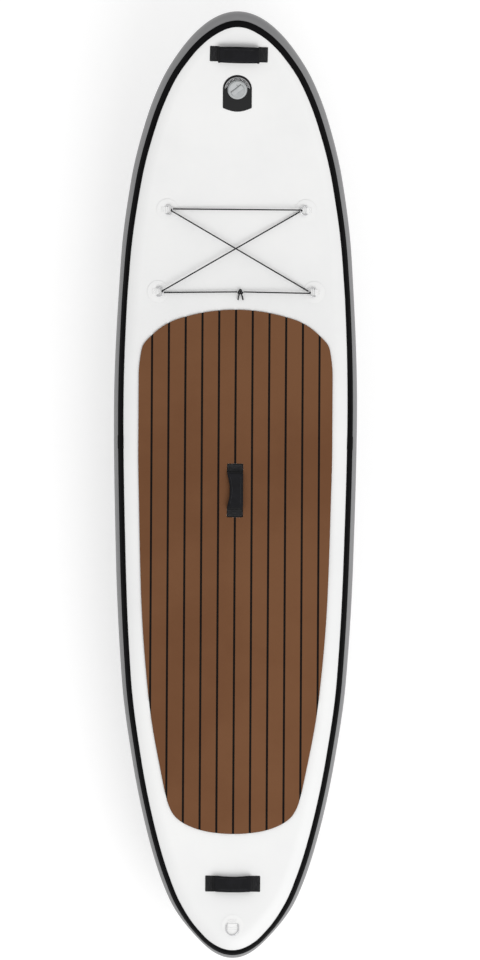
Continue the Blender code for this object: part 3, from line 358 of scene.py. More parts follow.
def spunShape(profile, steps=96):
    # Turns a profile of (radius, height) about the vertical axis
    bm = bmesh.new()
    verts = [bm.verts.new((radius, 0, height)) for radius, height in profile]
    edges = [bm.edges.new(pair) for pair in zip(verts, verts[1:])]
    if profile[0][0] > 0:
        edges.append(bm.edges.new((verts[-1], verts[0])))
    bmesh.ops.spin(bm, geom=verts + edges, axis=(0, 0, 1), cent=(0, 0, 0), angle=2 * math.pi, steps=steps,
                   use_merge=True)
    bmesh.ops.remove_doubles(bm, verts=bm.verts, dist=meshing["merge"])
    return bm


def cutAway(piece, shape, matrix=None):
    # Takes a closed shape out of a finished piece
    data = bpy.data.meshes.new("cutter")
    bmesh.ops.recalc_face_normals(shape, faces=shape.faces)
    if matrix is not None:
        bmesh.ops.transform(shape, matrix=matrix, verts=shape.verts)
    shape.to_mesh(data)
    shape.free()
    cutter = bpy.data.objects.new("cutter", data)
    bpy.context.scene.collection.objects.link(cutter)
    cut = piece.modifiers.new("cut", "BOOLEAN")
    cut.operation = "DIFFERENCE"
    cut.solver = "EXACT"
    cut.object = cutter
    kept = bpy.data.meshes.new_from_object(piece.evaluated_get(bpy.context.evaluated_depsgraph_get()))
    piece.modifiers.clear()
    old = piece.data
    piece.data = kept
    kept.name = piece.name
    bpy.data.meshes.remove(old)
    bpy.data.objects.remove(cutter)
    bpy.data.meshes.remove(data)


def pathLength(path):
    return sum((after - before).length for before, after in zip(path, path[1:]))


def flowAt(before, point, after, span):
    # The curve's direction at a point, as long as the span it leads into
    near, far = (point - before).length, (after - point).length
    if near == 0 or far == 0:
        return (after - before) / 2
    return ((point - before) * far / near + (after - point) * near / far) * span / (near + far)


def smoothPath(points, spacing, closed=False, uneven=False):
    # An even row of points on a smooth curve through the given ones, which may stand unevenly apart
    count = len(points)
    dense = []
    for k in range(count if closed else count - 1):
        ends = [points[(k + step) % count] if closed else points[min(max(k + step, 0), count - 1)]
                for step in (-1, 0, 1, 2)]
        span = (ends[2] - ends[1]).length
        leave, arrive = (ends[2] - ends[0]) / 2, (ends[3] - ends[1]) / 2
        if uneven:
            leave, arrive = flowAt(*ends[:3], span), flowAt(*ends[1:], span)
        pieces = max(2, math.ceil(span / spacing))
        for step in range(pieces):
            t = step / pieces
            dense.append(ends[1] + leave * t + (3 * (ends[2] - ends[1]) - 2 * leave - arrive) * t ** 2
                         + (2 * (ends[1] - ends[2]) + leave + arrive) * t ** 3)
    if not closed:
        dense.append(points[-1].copy())
    return dense


def sweptShape(path, radius, sides, closed=False):
    # A round tube along a path, with a map in metres for braid and weave
    up = Vector((0, 0, 1))
    count = len(path)
    frames = []
    side = None
    for k, point in enumerate(path):
        ahead = path[(k + 1) % count] if closed or k + 1 < count else point
        behind = path[k - 1] if closed or k else point
        along = (ahead - behind).normalized()
        side = along.cross(up) if side is None else side - along * side.dot(along)
        side.normalize()
        frames.append((point, side.copy(), side.cross(along)))
    rows = count if closed else count - 1

    def place(around, along):
        point, first, second = frames[round(along * rows) % count]
        angle = 2 * math.pi * around
        return point + radius * (math.cos(angle) * first + math.sin(angle) * second)

    bm = shapedGrid(sides, rows, place, (2 * math.pi * radius, pathLength(path)))
    if not closed:
        bmesh.ops.holes_fill(bm, edges=bm.edges, sides=sides)
    return bm


# Hull: the same outline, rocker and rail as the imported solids, with finer steps
hull = {
    "length": 3.203, "width": 0.824, "thickness": 0.150, "nose": 1.6195,
    "noseRise": 0.190, "noseRun": 1.000, "tailRise": 0.018, "tailRun": 0.350,
    "skin": 0.0009, "gap": 0.0003, "seam": 47.0, "rows": 132, "railColumns": 12, "deckColumns": 8,
    "lapColumns": 12, "wallRows": 22, "wallShort": 0.35,
    "roundTrip": 2.2,  # the way round the board in board lengths, for the cloth's map
    "outline": (
        (0.0, 0.0), (0.0131, 0.267), (0.0385, 0.456), (0.0723, 0.620), (0.1146, 0.748),
        (0.178, 0.869), (0.2625, 0.950), (0.421, 1.0), (0.5795, 0.976), (0.7064, 0.922),
        (0.7909, 0.832), (0.8755, 0.690), (0.9389, 0.517), (0.979, 0.287), (1.0, 0.0)),
    "coarse": (14, 5, 8),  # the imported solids' stations in the nose, the middle and the tail
    "rollFade": (34.0, 37.0),  # degrees over which the roll fades out, up to the deck and below the middle
    "seamRoll": (  # the seam climbs onto the raised nose and drops towards the tail, in degrees
        (0.0, 18.6), (0.01, 17.0), (0.02, 14.0), (0.035, 10.7), (0.06, 7.7), (0.1, 5.8),
        (0.15, 3.6), (0.2, 1.9), (0.3, -2.2), (0.4, -0.2), (0.6, 0.3), (0.8, -2.5),
        (0.92, -3.5), (0.95, -6.0), (0.97, -11.5), (0.985, -12.2), (1.0, -5.5)),
}
hullTail = hull["nose"] - hull["length"]
hullRadius = hull["thickness"] / 2


def smoothTable(table):
    # Interpolates the square of the second column, which gives an outline with round ends
    knots = [row[0] for row in table]
    squares = [row[1] ** 2 for row in table]
    slopes = [(squares[i + 1] - squares[i]) / (knots[i + 1] - knots[i]) for i in range(len(knots) - 1)]
    tangents = [slopes[0]]
    for before, after in zip(slopes, slopes[1:]):
        tangents.append(2 * before * after / (before + after) if before * after > 0 else 0.0)
    tangents.append(slopes[-1])

    def value(at):
        at = min(max(at, knots[0]), knots[-1])
        i = max(k for k in range(len(knots) - 1) if knots[k] <= at)
        span = knots[i + 1] - knots[i]
        t = (at - knots[i]) / span
        square = ((2 * t ** 3 - 3 * t ** 2 + 1) * squares[i] + (t ** 3 - 2 * t ** 2 + t) * span * tangents[i]
                  + (3 * t ** 2 - 2 * t ** 3) * squares[i + 1] + (t ** 3 - t ** 2) * span * tangents[i + 1])
        return math.sqrt(max(square, 0.0))
    return value


outlineShare = smoothTable(hull["outline"])


def halfWidth(run):
    # run is the distance from the nose
    return hull["width"] / 2 * outlineShare(run / hull["length"])


def rocker(y):
    noseRun = max(0.0, y - (hull["nose"] - hull["noseRun"])) / hull["noseRun"]
    tailRun = max(0.0, hullTail + hull["tailRun"] - y) / hull["tailRun"]
    return hull["noseRise"] * noseRun ** 2 + hull["tailRise"] * tailRun ** 2


@lru_cache(maxsize=None)
def railStation(run):
    # Centre of the round rail at this distance from the nose, and its outward direction in plan
    step = 0.0001
    if run < step or run > hull["length"] - step:
        normal = Vector((0.0, 1.0 if run < step else -1.0))
    else:
        normal = Vector((2 * step, halfWidth(run + step) - halfWidth(run - step))).normalized()
    centre = Vector((halfWidth(run), hull["nose"] - run)) - normal * hullRadius
    return centre.x, centre.y, normal.x, normal.y


def coarseDistances():
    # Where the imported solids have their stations
    nose, middle, tail = hull["coarse"]
    tailStart = hull["length"] - hull["tailRun"]
    step = (tailStart - hull["noseRun"]) / middle
    return ([hull["noseRun"] * (1 - math.cos(math.pi / 2 * i / nose)) for i in range(nose)]
            + [hull["noseRun"] + step * i for i in range(middle)]
            + [tailStart + hull["tailRun"] * math.sin(math.pi / 2 * i / tail) for i in range(tail + 1)])


deckBreaks = [railStation(run)[1] for run in coarseDistances()]


def deckRise(y):
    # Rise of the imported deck's flat facets, on which the fittings stand
    index = min((k for k in range(1, len(deckBreaks)) if deckBreaks[k] <= y), default=len(deckBreaks) - 1)
    upper, lower = deckBreaks[index - 1], deckBreaks[index]
    share = (y - lower) / (upper - lower)
    return rocker(lower) + share * (rocker(upper) - rocker(lower))


def deckPlace(y, x=0.0, turn=0.0):
    # A place on the deck, level with it, turned about its upright axis
    step = 0.001
    slope = math.atan((deckRise(y + step) - deckRise(y - step)) / (2 * step))
    place = Matrix.Translation((x, y, hull["thickness"] + deckRise(y)))
    return place @ Matrix.Rotation(slope, 4, "X") @ Matrix.Rotation(turn, 4, "Z")


def runAt(share):
    # Distances from the nose that lie close together at both tips
    return hull["length"] * (1 - math.cos(math.pi * share)) / 2


@lru_cache(maxsize=None)
def seamRoll(run):
    # Degrees by which the seam is rolled up here
    share = run / hull["length"]
    for (first, low), (last, high) in zip(hull["seamRoll"], hull["seamRoll"][1:]):
        if share <= last:
            return low + (high - low) * (share - first) / (last - first)
    return hull["seamRoll"][-1][1]


def hullPoint(run, side, radius, degrees):
    # A point on the round rail, at an angle above the middle of its side
    x, y, nx, ny = railStation(run)
    above, below = hull["rollFade"]
    hold = (90 - degrees) / above if degrees > 0 else 1 + degrees / below
    degrees += seamRoll(run) * max(0.0, min(1.0, hold))
    reach = radius * math.cos(math.radians(degrees))
    y += reach * ny
    z = hullRadius + radius * math.sin(math.radians(degrees)) + rocker(y)
    return Vector((side * (x + reach * nx), y, z))


def broadSkin(radius, seam, facing):
    # Deck or bottom skin: down over one rail to its seam, across the flat, and over the other rail
    rail, flat = hull["railColumns"], hull["deckColumns"]

    def place(across, along):
        column = round(across * (2 * rail + flat))
        run = runAt(1 - along)
        if rail < column < rail + flat:
            left, right = hullPoint(run, -1, radius, facing * 90), hullPoint(run, 1, radius, facing * 90)
            return left.lerp(right, (column - rail) / flat)
        side = -1 if column <= rail else 1
        share = column / rail if side < 0 else (2 * rail + flat - column) / rail
        return hullPoint(run, side, radius, facing * (seam + (90 - seam) * share))

    return shapedGrid(2 * rail + flat, hull["rows"], place, (hull["width"], hull["length"]))


def railRing(upper, lower, rows, radiusAt, fromRun=0.0, toRun=1.0, side=None):
    # A strip round the rail between two angles, all the way round or along a stretch of one side
    columns = 2 * hull["rows"] if side is None else hull["lapColumns"]

    def place(across, along):
        if side is None:
            turn = across * 2
            run, hand = (runAt(turn), 1) if turn <= 1 else (runAt(2 - turn), -1)
        else:
            run, hand = fromRun + (toRun - fromRun) * across, side
        return hullPoint(run, hand, radiusAt(along), lower + (upper - lower) * along)

    length = hull["roundTrip"] * hull["length"] if side is None else toRun - fromRun
    return shapedGrid(columns, rows, place, (length, hullRadius * math.radians(upper - lower)))


hullMiddle = Vector((0.0, 0.0, hullRadius))
valve = {"y": hull["nose"] - 0.2645, "bore": 0.0224, "boreReach": 0.02}
valvePlace = deckPlace(valve["y"])


def cutBore(piece, margin=0.0):
    # The hole in which the valve's barrel stands
    cutAway(piece, rodShape(valve["bore"] + margin, -valve["boreReach"], valve["boreReach"]), valvePlace)


deckSheet = makePiece("deckSheet", broadSkin(hullRadius, hull["seam"], 1), "deck", "hull",
                      ["deck_skin"], inside=hullMiddle)
addWall(deckSheet, hull["skin"])
cutBore(deckSheet)
bottomSheet = makePiece("bottomSheet", broadSkin(hullRadius, hull["seam"], -1), "deck", "hull",
                        ["bottom_skin"], inside=hullMiddle)
addWall(bottomSheet, hull["skin"])
wallSeam = hull["seam"] - hull["wallShort"]
railWall = makePiece("railSheet", railRing(wallSeam, -wallSeam, hull["wallRows"], lambda share: hullRadius),
                     "rail", "hull", ["rail_wall"], inside=hullMiddle)
addWall(railWall, hull["skin"])
print("hull skins made")


# Seam tape: a flat band with a raised bead along its middle, and a lap on each side of the board
tape = {"upper": 56.0, "lower": 37.0, "thickness": 0.0009, "bead": 0.0007, "beadWidth": 0.16, "rows": 14,
        "lapFrom": 1.435, "lapTo": 1.480, "lapMargin": 0.5, "lapThickness": 0.0008}
tapeOuter = hullRadius + hull["gap"] + tape["thickness"]


def tapeRadius(share):
    return tapeOuter + tape["bead"] * math.exp(-((share - 0.5) / tape["beadWidth"]) ** 2)


for word, sign in (("upper", 1), ("lower", -1)):
    bm = railRing(sign * tape["upper"], sign * tape["lower"], tape["rows"], tapeRadius)
    band = makePiece(f"{word}SeamTape", bm, "tape", "hull", [f"rail_tape_{word}"], inside=hullMiddle)
    addWall(band, tape["thickness"] + hull["gap"] * 0.5)
    for hand, handWord in ((-1, "Left"), (1, "Right")):
        bm = railRing(sign * (tape["upper"] + tape["lapMargin"]), sign * (tape["lower"] - tape["lapMargin"]),
                      tape["rows"], lambda share: tapeRadius(share) + tape["lapThickness"],
                      tape["lapFrom"], tape["lapTo"], hand)
        lap = makePiece(f"{word}TapeLap{handWord}", bm, "tape", "hull",
                        inside=Vector((0, hull["nose"] - tape["lapFrom"], hullRadius)))
        addWall(lap, tape["lapThickness"])
print("seam tapes made")


# Deck pad: brown planks over a black base sheet
pad = {
    "front": 1.0075, "length": 1.775, "width": 0.6566, "planks": 12, "trim": 0.0119, "groove": 0.007,
    "base": 0.0015, "plank": 0.0032, "steps": 220, "edge": 0.0009,
    "outline": (
        (0.0, 0.0), (0.011, 0.463), (0.0234, 0.670), (0.0457, 0.8456), (0.0744, 0.9686),
        (0.1259, 1.0), (0.267, 1.0), (0.3623, 0.9899), (0.5532, 0.9595), (0.7437, 0.8763),
        (0.8868, 0.7423), (0.9403, 0.6753), (0.9628, 0.6183), (0.9783, 0.5257), (0.9859, 0.4435),
        (0.9936, 0.3198), (1.0, 0.0)),
}
padShare = smoothTable(pad["outline"])
padLow = hull["thickness"] + hull["gap"]
padMiddle = padLow + pad["base"]
plankLow = padMiddle + hull["gap"]
padHigh = plankLow + pad["plank"]
plankPitch = (pad["width"] + 2 * pad["trim"]) / pad["planks"]
padReach = plankPitch * pad["planks"] / 2

handles = {
    "width": 0.054, "gripHeight": 0.018, "lift": 0.020, "gripEnd": 0.036, "mouth": 0.003,
    "strapWidth": 0.0525, "strapThickness": 0.0022, "strapEnd": 0.003, "strapFoot": 0.026,
    "patchLength": 0.032, "patchThickness": 0.0012, "patchInset": 0.001, "patchCorner": 0.0025,
    "patchEdge": 0.0005, "fit": 0.0004, "recessMargin": 0.009, "recessReach": 0.01, "recessCorner": 0.002,
    "endCorner": 0.003, "centreLength": 0.183, "noseLength": 0.193, "tailLength": 0.188,
    "noseReach": 0.1455, "tailReach": 0.2525, "noseExtra": 0.005, "noseTurn": -0.018, "noseAside": 0.0045,
    # How far each sleeve is drawn in at its middle, bowed sideways there, and sewn off the webbing's line
    "nose": (-0.003, 0.0, 0.003), "centre": (0.010, -0.005, 0.0), "tail": (0.002, -0.003, 0.0),
}


def roundedPlate(lengthX, lengthY, low, high, corner):
    bm = boxShape((-lengthX / 2, -lengthY / 2, low), (lengthX / 2, lengthY / 2, high))
    upright = [edge for edge in bm.edges if abs(edge.verts[0].co.z - edge.verts[1].co.z) > (high - low) / 2]
    bmesh.ops.bevel(bm, geom=upright, offset=corner, affect="EDGES", segments=6, profile=0.5, material=-1)
    return bm


def raiseFlat(bm, height):
    # Makes a plate of a flat outline
    raised = bmesh.ops.extrude_face_region(bm, geom=bm.faces[:])["geom"]
    top = [item for item in raised if isinstance(item, bmesh.types.BMVert)]
    bmesh.ops.translate(bm, verts=top, vec=(0, 0, height))
    return bm


def padPlate(left, right, low, high):
    # The pad's outline, trimmed to a strip along the board and raised to a plate
    bm = bmesh.new()
    bmesh.ops.create_circle(bm, cap_ends=True, segments=pad["steps"], radius=1.0)
    for vert in bm.verts:
        share = math.acos(max(-1.0, min(1.0, vert.co.y))) / math.pi
        along = (1 - math.cos(math.pi * share)) / 2
        side = math.copysign(1.0, vert.co.x) if abs(vert.co.x) > 0.0001 else 0.0
        y = hull["nose"] - pad["front"] - pad["length"] * along
        vert.co = (side * pad["width"] / 2 * padShare(along), y, low)
    for edge, direction in ((right, 1), (left, -1)):
        bmesh.ops.bisect_plane(bm, geom=bm.verts[:] + bm.edges[:] + bm.faces[:], dist=0.00001,
                               plane_co=(edge, 0, 0), plane_no=(direction, 0, 0), clear_outer=True)
    return raiseFlat(bm, high - low)


def cutHandleRecess(piece, throughout=True):
    # Fits the patches at both ends; the planks are cut under the sleeve too
    low, high = hull["thickness"] - handles["recessReach"], padHigh + handles["recessReach"]
    end = handles["patchLength"] + 2 * handles["fit"]
    broad = handles["width"] + 2 * handles["fit"]
    if throughout:
        narrow, length = handles["width"] - 2 * handles["recessMargin"], handles["centreLength"] - end
        cutAway(piece, roundedPlate(narrow, length, low, high, handles["recessCorner"]))
    for side in (-1, 1):
        middle = side * (handles["centreLength"] / 2 - handles["patchInset"] + handles["fit"] - end / 2)
        plate = roundedPlate(broad, end, low, high, handles["endCorner"])
        cutAway(piece, plate, Matrix.Translation((0, middle, 0)))


padBase = makePiece("padBaseSheet", padPlate(-padReach, padReach, padLow, padMiddle), "padBase", "hull",
                    ["pad_base"])
# The base sheet stays whole under the sleeve: its black is the foam's own colour, but leaving it there in
# place of the white deck is painted shade under the grip
cutHandleRecess(padBase, False)
for number in range(pad["planks"]):
    middle = (number - (pad["planks"] - 1) / 2) * plankPitch
    reach = (plankPitch - pad["groove"]) / 2
    name = f"{number + 1:02d}"
    plank = makePiece(f"padPlank{name}", padPlate(middle - reach, middle + reach, plankLow, padHigh),
                      "pad", "hull", [f"pad_plank_{name}"])
    if abs(middle) < plankPitch:
        cutHandleRecess(plank)
    addSoftEdge(plank, pad["edge"])
print("deck pad made:", pad["planks"], "planks")


# Handles: padded sleeve, webbing through it, welded end patches and their stitching
webbing = {
    "sides": 28, "edgePower": 0.25, "facePower": 0.6, "spacing": 0.003,
    "climb": ((0.25, 0.12), (0.75, 0.88)), "topInset": 0.001,  # shares of the way in and up, from foot to top
    "gatherInset": 0.002, "gatherBy": 0.010, "gatherOver": 0.018,
}
padding = {
    "sides": 44, "rows": 48, "girth": 0.12, "edgePower": 0.62, "facePower": 0.85,
    "mouthRun": 0.007, "mouthNarrower": 0.0015, "mouthFlatter": 0.006, "rimWidth": 0.0022, "rimDepth": 0.0018,
    "crease": 0.0006, "creaseWaves": 160,
}
binding = {"share": 0.485, "steps": 16, "inset": 0.0012, "radius": 0.0019, "sides": 10, "seamInset": 0.0074}
stitching = {
    "fill": 0.34, "flat": 0.7, "boxOut": 0.003, "boxBack": 0.002, "boxAside": 0.004,
    # Pitch and half width of the stitches
    "seam": (0.0036, 0.00045), "box": (0.0034, 0.0004), "loop": (0.0026, 0.0003),
}


def signedPower(value, power):
    return math.copysign(abs(value) ** power, value)


def strapPath(length):
    # From the outer end of the patch, flat and then up to the middle of the sleeve
    flat = handles["patchThickness"] + 2 * hull["gap"] + handles["strapThickness"] / 2
    lift = handles["lift"]
    foot = length / 2 - handles["strapFoot"]
    top = length / 2 - handles["gripEnd"] + webbing["topInset"]
    climb = [(foot - (foot - top) * across, flat + (lift - flat) * up) for across, up in webbing["climb"]]
    points = [(length / 2 - handles["strapEnd"], flat), (foot, flat), *climb, (top, lift), (0.0, lift)]
    return [Vector((run, 0.0, height)) for run, height in points]


def bentStrap(path, width, thickness, gather=None):
    # Flat webbing with rounded edges, along a path in the XZ plane; it may be gathered inside its sleeve
    rows = len(path) - 1

    def place(around, along):
        k = round(along * rows)
        ahead, behind = path[min(k + 1, rows)], path[max(k - 1, 0)]
        normal = Vector((0, 1, 0)).cross(ahead - behind).normalized()
        angle = 2 * math.pi * around
        run = signedPower(math.cos(angle), webbing["edgePower"])
        rise = signedPower(math.sin(angle), webbing["facePower"])
        drawn = 0.0
        if gather is not None:
            drawn = webbing["gatherBy"] * max(0.0, min(1.0, (gather - path[k].x) / webbing["gatherOver"]))
        return path[k] + Vector((0, (width / 2 - drawn) * run, 0)) + normal * thickness / 2 * rise

    bm = shapedGrid(webbing["sides"], rows, place, (2 * width, pathLength(path)))
    bmesh.ops.holes_fill(bm, edges=bm.edges, sides=webbing["sides"])
    return bm


def stitchRow(bm, points, kind):
    # Small tight stitches along a broken line
    pitch, size = stitching[kind]
    for start, end in zip(points, points[1:]):
        run = end - start
        count = max(1, round(run.length / pitch))
        for step in range(count):
            middle = start + run * (step + 0.5) / count
            spot = Matrix.Translation(middle) @ Matrix.Rotation(math.atan2(run.y, run.x), 4, "Z")
            spot = spot @ Matrix.Diagonal((pitch * stitching["fill"], size, size * stitching["flat"], 1.0))
            bmesh.ops.create_icosphere(bm, subdivisions=1, radius=1.0, matrix=spot)


def sleeveSpan(run, half, form):
    # The sleeve's width here, and how far its middle lies off the webbing's line
    waist, bow, shift = form
    rise = math.sin(math.pi / 2 * (1 - abs(run) / half))
    return handles["width"] - waist * rise, bow * rise + shift


def sleeve(length, form):
    # Padded sleeve: full in the middle, drawn flat along both sewn edges and rounded at its mouths
    half = length / 2

    def place(around, along):
        run = (along * 2 - 1) * half
        share = 1 - abs(run) / half
        width, aside = sleeveSpan(run, half, form)
        close = min(1.0, share * half / padding["mouthRun"])
        rounded = 1 - math.sqrt(1 - (1 - close) ** 2)
        width -= padding["mouthNarrower"] * rounded
        height = handles["gripHeight"] - padding["mouthFlatter"] * rounded
        angle = 2 * math.pi * around
        across = signedPower(math.cos(angle), padding["edgePower"])
        rise = signedPower(math.sin(angle), padding["facePower"])
        crease = padding["crease"] * math.sin(run * padding["creaseWaves"])
        crease *= math.sin(angle) ** 2 * (1 - share) ** 2
        return Vector((run, width / 2 * across + aside, height / 2 * rise + crease))

    bm = shapedGrid(padding["sides"], padding["rows"], place, (padding["girth"], length))
    ends = bmesh.ops.holes_fill(bm, edges=bm.edges, sides=padding["sides"])["faces"]
    for face in ends:
        bmesh.ops.inset_individual(bm, faces=[face], thickness=padding["rimWidth"],
                                   depth=-padding["rimDepth"])
    return bm


def makeBinding(word, edgeWord, body, side, gripLength, lifted):
    # Binding tape along a long edge of the sleeve, and the seam beside it
    path, seamPath = [], []
    for step in range(2 * binding["steps"] + 1):
        run = gripLength * (binding["share"] * (step / binding["steps"] - 1))
        width, aside = sleeveSpan(run, gripLength / 2, handles[word])
        path.append(Vector((run, side * (width / 2 - binding["inset"]) + aside, 0.0)))
        inset = width / 2 - binding["seamInset"]
        rise = math.sqrt(1 - (2 * inset / width) ** (2 / padding["edgePower"])) ** padding["facePower"]
        seamPath.append(Vector((run, side * inset + aside, handles["gripHeight"] / 2 * rise)))
    tube = sweptShape(path, binding["radius"], binding["sides"])
    makePiece(f"{word}GripBinding{edgeWord}", tube, "binding", body, place=lifted)
    seam = bmesh.new()
    stitchRow(seam, seamPath[3:-3], "seam")
    makePiece(f"{word}GripSeam{edgeWord}", seam, "thread", body, place=lifted)


def makeBoxStitch(word, endWord, points, where):
    # Box and cross of stitches that hold the webbing's end
    out, back = points[0].x - stitching["boxOut"], points[1].x + stitching["boxBack"]
    reach = handles["strapWidth"] / 2 - stitching["boxAside"]
    top = points[0].z + handles["strapThickness"] / 2
    corners = [Vector((run, aside, top)) for run, aside in
               ((out, -reach), (out, reach), (back, reach), (back, -reach))]
    seam = bmesh.new()
    stitchRow(seam, corners + [corners[0], corners[2]], "box")
    stitchRow(seam, [corners[1], corners[3]], "box")
    makePiece(f"{word}BoxStitch{endWord}", seam, "thread", "hull", place=where)


def makeHandlePatch(word, endWord, length, where):
    middle = length / 2 - handles["patchLength"] / 2 - handles["patchInset"]
    bm = roundedPlate(handles["patchLength"], handles["width"], hull["gap"],
                      hull["gap"] + handles["patchThickness"], handles["patchCorner"])
    bmesh.ops.translate(bm, verts=bm.verts, vec=(middle, 0, 0))
    patch = makePiece(f"{word}Patch{endWord}", bm, "blackPatch", "hull",
                      [f"{word}_handle_patch_{endWord.lower()}"], place=where)
    addSoftEdge(patch, handles["patchEdge"])


def makeHandle(word, body, y, length, turn, endWords, x=0.0):
    frameHere = deckPlace(y, x, turn)
    gripLength = length - 2 * handles["gripEnd"] + 2 * handles["mouth"]
    lifted = frameHere @ Matrix.Translation((0, 0, handles["lift"]))
    grip = makePiece(f"{word}Grip", sleeve(gripLength, handles[word]), "neoprene", body,
                     [f"{word}_handle_grip"], place=lifted)
    for side, edgeWord in ((-1, "A"), (1, "B")):
        makeBinding(word, edgeWord, body, side, gripLength, lifted)

    points = strapPath(length)
    path = smoothPath(points, webbing["spacing"])
    for side, endWord in zip((1, -1), endWords):
        where = frameHere @ Matrix.Rotation(0 if side > 0 else math.pi, 4, "Z")
        bm = bentStrap(path, handles["strapWidth"], handles["strapThickness"],
                       gripLength / 2 - webbing["gatherInset"])
        strap = makePiece(f"{word}Strap{endWord}", bm, "webbing", None, place=where)
        if side > 0:
            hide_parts(f"{word}_handle_strap")
        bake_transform(strap)
        makeBoxStitch(word, endWord, points, where)
        makeHandlePatch(word, endWord, length, where)


noseLength = handles["noseLength"] + handles["noseExtra"]
makeHandle("nose", "nose_grip", hull["nose"] - handles["noseReach"], noseLength, handles["noseTurn"],
           ("Right", "Left"), handles["noseAside"])
makeHandle("centre", "centre_grip", 0.0, handles["centreLength"], math.pi / 2, ("Front", "Rear"))
makeHandle("tail", "tail_grip", hullTail + handles["tailReach"], handles["tailLength"], 0.0,
           ("Right", "Left"))
print("handles made")


# Rings: bent steel wire, held by a loop on a round patch
rings = {
    "wire": 0.0040, "sides": 20, "spacing": 0.0016, "corner": 0.003, "cornerShare": 0.3, "bowSteps": 16,
    "bowWidth": 0.030, "bowDepth": 0.023, "tailWidth": 0.041, "tailDepth": 0.0365, "barHeight": 0.0035,
    "patchRadius": 0.037, "patchThickness": 0.0009, "patchShift": 0.004, "patchEdge": 0.00035,
    "patchSteps": 96,
    "tunnelWall": 0.0013, "tunnelShort": 0.009, "loopSpacing": 0.0012, "loopBack": 0.017, "loopFront": 0.019,
    "loopFoot": 0.008, "loopBend": (0.0008, 0.0004), "loopTurns": (160, 19, -20),
    "tilt": 20, "tailTilt": 2, "tailReach": 0.1145,
    "stitchRuns": (-0.0145, -0.0095, 0.0095, 0.0165), "stitchInset": 0.002,
    # From the middle, from the nose, and the turn of each ring
    "places": {
        "upper_left": (-0.238, 0.6705, 0.0), "upper_right": (0.238, 0.6705, math.pi),
        "lower_left": (-0.268, 0.9475, 0.0), "lower_right": (0.268, 0.9475, math.pi)},
}


def joinedName(word):
    first, *rest = word.split("_")
    return first + "".join(part.capitalize() for part in rest)


def ringPath(bowWidth, bowDepth):
    # A straight bar, two tight corners and a round bow
    half = bowWidth / 2
    straight = bowDepth - half
    corner, cut = rings["corner"], rings["corner"] * rings["cornerShare"]
    path = [Vector((0, -half + corner, 0)), Vector((0, 0, 0)), Vector((0, half - corner, 0)),
            Vector((cut, half - cut, 0)), Vector((corner, half, 0))]
    for step in range(rings["bowSteps"] + 1):
        angle = math.pi / 2 - math.pi * step / rings["bowSteps"]
        path.append(Vector((straight + half * math.cos(angle), half * math.sin(angle), 0)))
    path += [Vector((corner, -half, 0)), Vector((cut, -half + cut, 0))]
    return smoothPath(path, rings["spacing"], closed=True)


def loopPath(low):
    # The cloth loop's middle line, from its rear foot over the bar to its front foot
    middle = rings["wire"] / 2 + hull["gap"] + rings["tunnelWall"] / 2
    out, up = rings["loopBend"]
    loop = [Vector((-rings["loopBack"], 0, low)), Vector((-rings["loopFoot"], 0, low)),
            Vector((-middle - out, 0, low + up))]
    for degrees in range(*rings["loopTurns"]):
        angle = math.radians(degrees)
        loop.append(Vector((middle * math.cos(angle), 0, middle * math.sin(angle))))
    loop += [Vector((middle + out, 0, low + up)), Vector((rings["loopFoot"], 0, low)),
             Vector((rings["loopFront"], 0, low))]
    return smoothPath(loop, rings["loopSpacing"])


def makeRing(word, body, y, x, turn, tilt, bowWidth, bowDepth):
    frameHere = deckPlace(y, x) @ Matrix.Translation((0, 0, rings["barHeight"]))
    frameHere = frameHere @ Matrix.Rotation(turn, 4, "Z")
    tilted = frameHere @ Matrix.Rotation(-math.radians(tilt), 4, "Y")
    name = joinedName(word)
    wire = sweptShape(ringPath(bowWidth, bowDepth), rings["wire"] / 2, rings["sides"], True)
    makePiece(f"{name}RingWire", wire, "steel", body, [f"{word}_ring"], place=tilted)

    # The round patch and the loop over the bar
    low = hull["gap"] - rings["barHeight"]
    tunnelLength = bowWidth - rings["tunnelShort"]
    loopLow = low + rings["patchThickness"] + rings["tunnelWall"] / 2
    patch = rodShape(rings["patchRadius"], low, low + rings["patchThickness"], rings["patchSteps"])
    bmesh.ops.translate(patch, verts=patch.verts, vec=(rings["patchShift"], 0, 0))
    pourInto(patch, bentStrap(loopPath(loopLow), tunnelLength, rings["tunnelWall"]))
    made = makePiece(f"{name}RingPatch", patch, "whitePatch", "hull", [f"{word}_patch"], place=frameHere)
    addSoftEdge(made, rings["patchEdge"])

    seam = bmesh.new()
    top = loopLow + rings["tunnelWall"] / 2
    reach = tunnelLength / 2 - rings["stitchInset"]
    for run in rings["stitchRuns"]:
        stitchRow(seam, [Vector((run, -reach, top)), Vector((run, reach, top))], "loop")
    makePiece(f"{name}RingStitch", seam, "thread", "hull", place=frameHere)
    return tilted


ringFrames = {}
for word, (x, reach, turn) in rings["places"].items():
    ringFrames[word] = makeRing(word, f"{word}_d_ring", hull["nose"] - reach, x, turn, rings["tilt"],
                                rings["bowWidth"], rings["bowDepth"])
makeRing("tail", "leash_ring", hullTail + rings["tailReach"], 0.0, -math.pi / 2, rings["tailTilt"],
         rings["tailWidth"], rings["tailDepth"])
print("rings made")


# Bungee: the imported cord's route, cut into one piece at each ring
bungee = {
    "diameter": 0.0045, "sides": 12, "lane": 0.0032, "bendReach": 0.006, "spacing": 0.003,
    "knotOffset": 0.014, "knotHeight": 0.010, "knotSize": 0.0027, "knotSpan": 2.6, "knotSteps": 72,
    "knotTail": 0.027, "tailSpread": 0.0085, "tailAside": 0.0012, "tailBack": 0.002, "tailRise": 0.001,
    "tailLean": 0.001, "tailDrop": 0.0065, "tailSpacing": 0.0015,
}


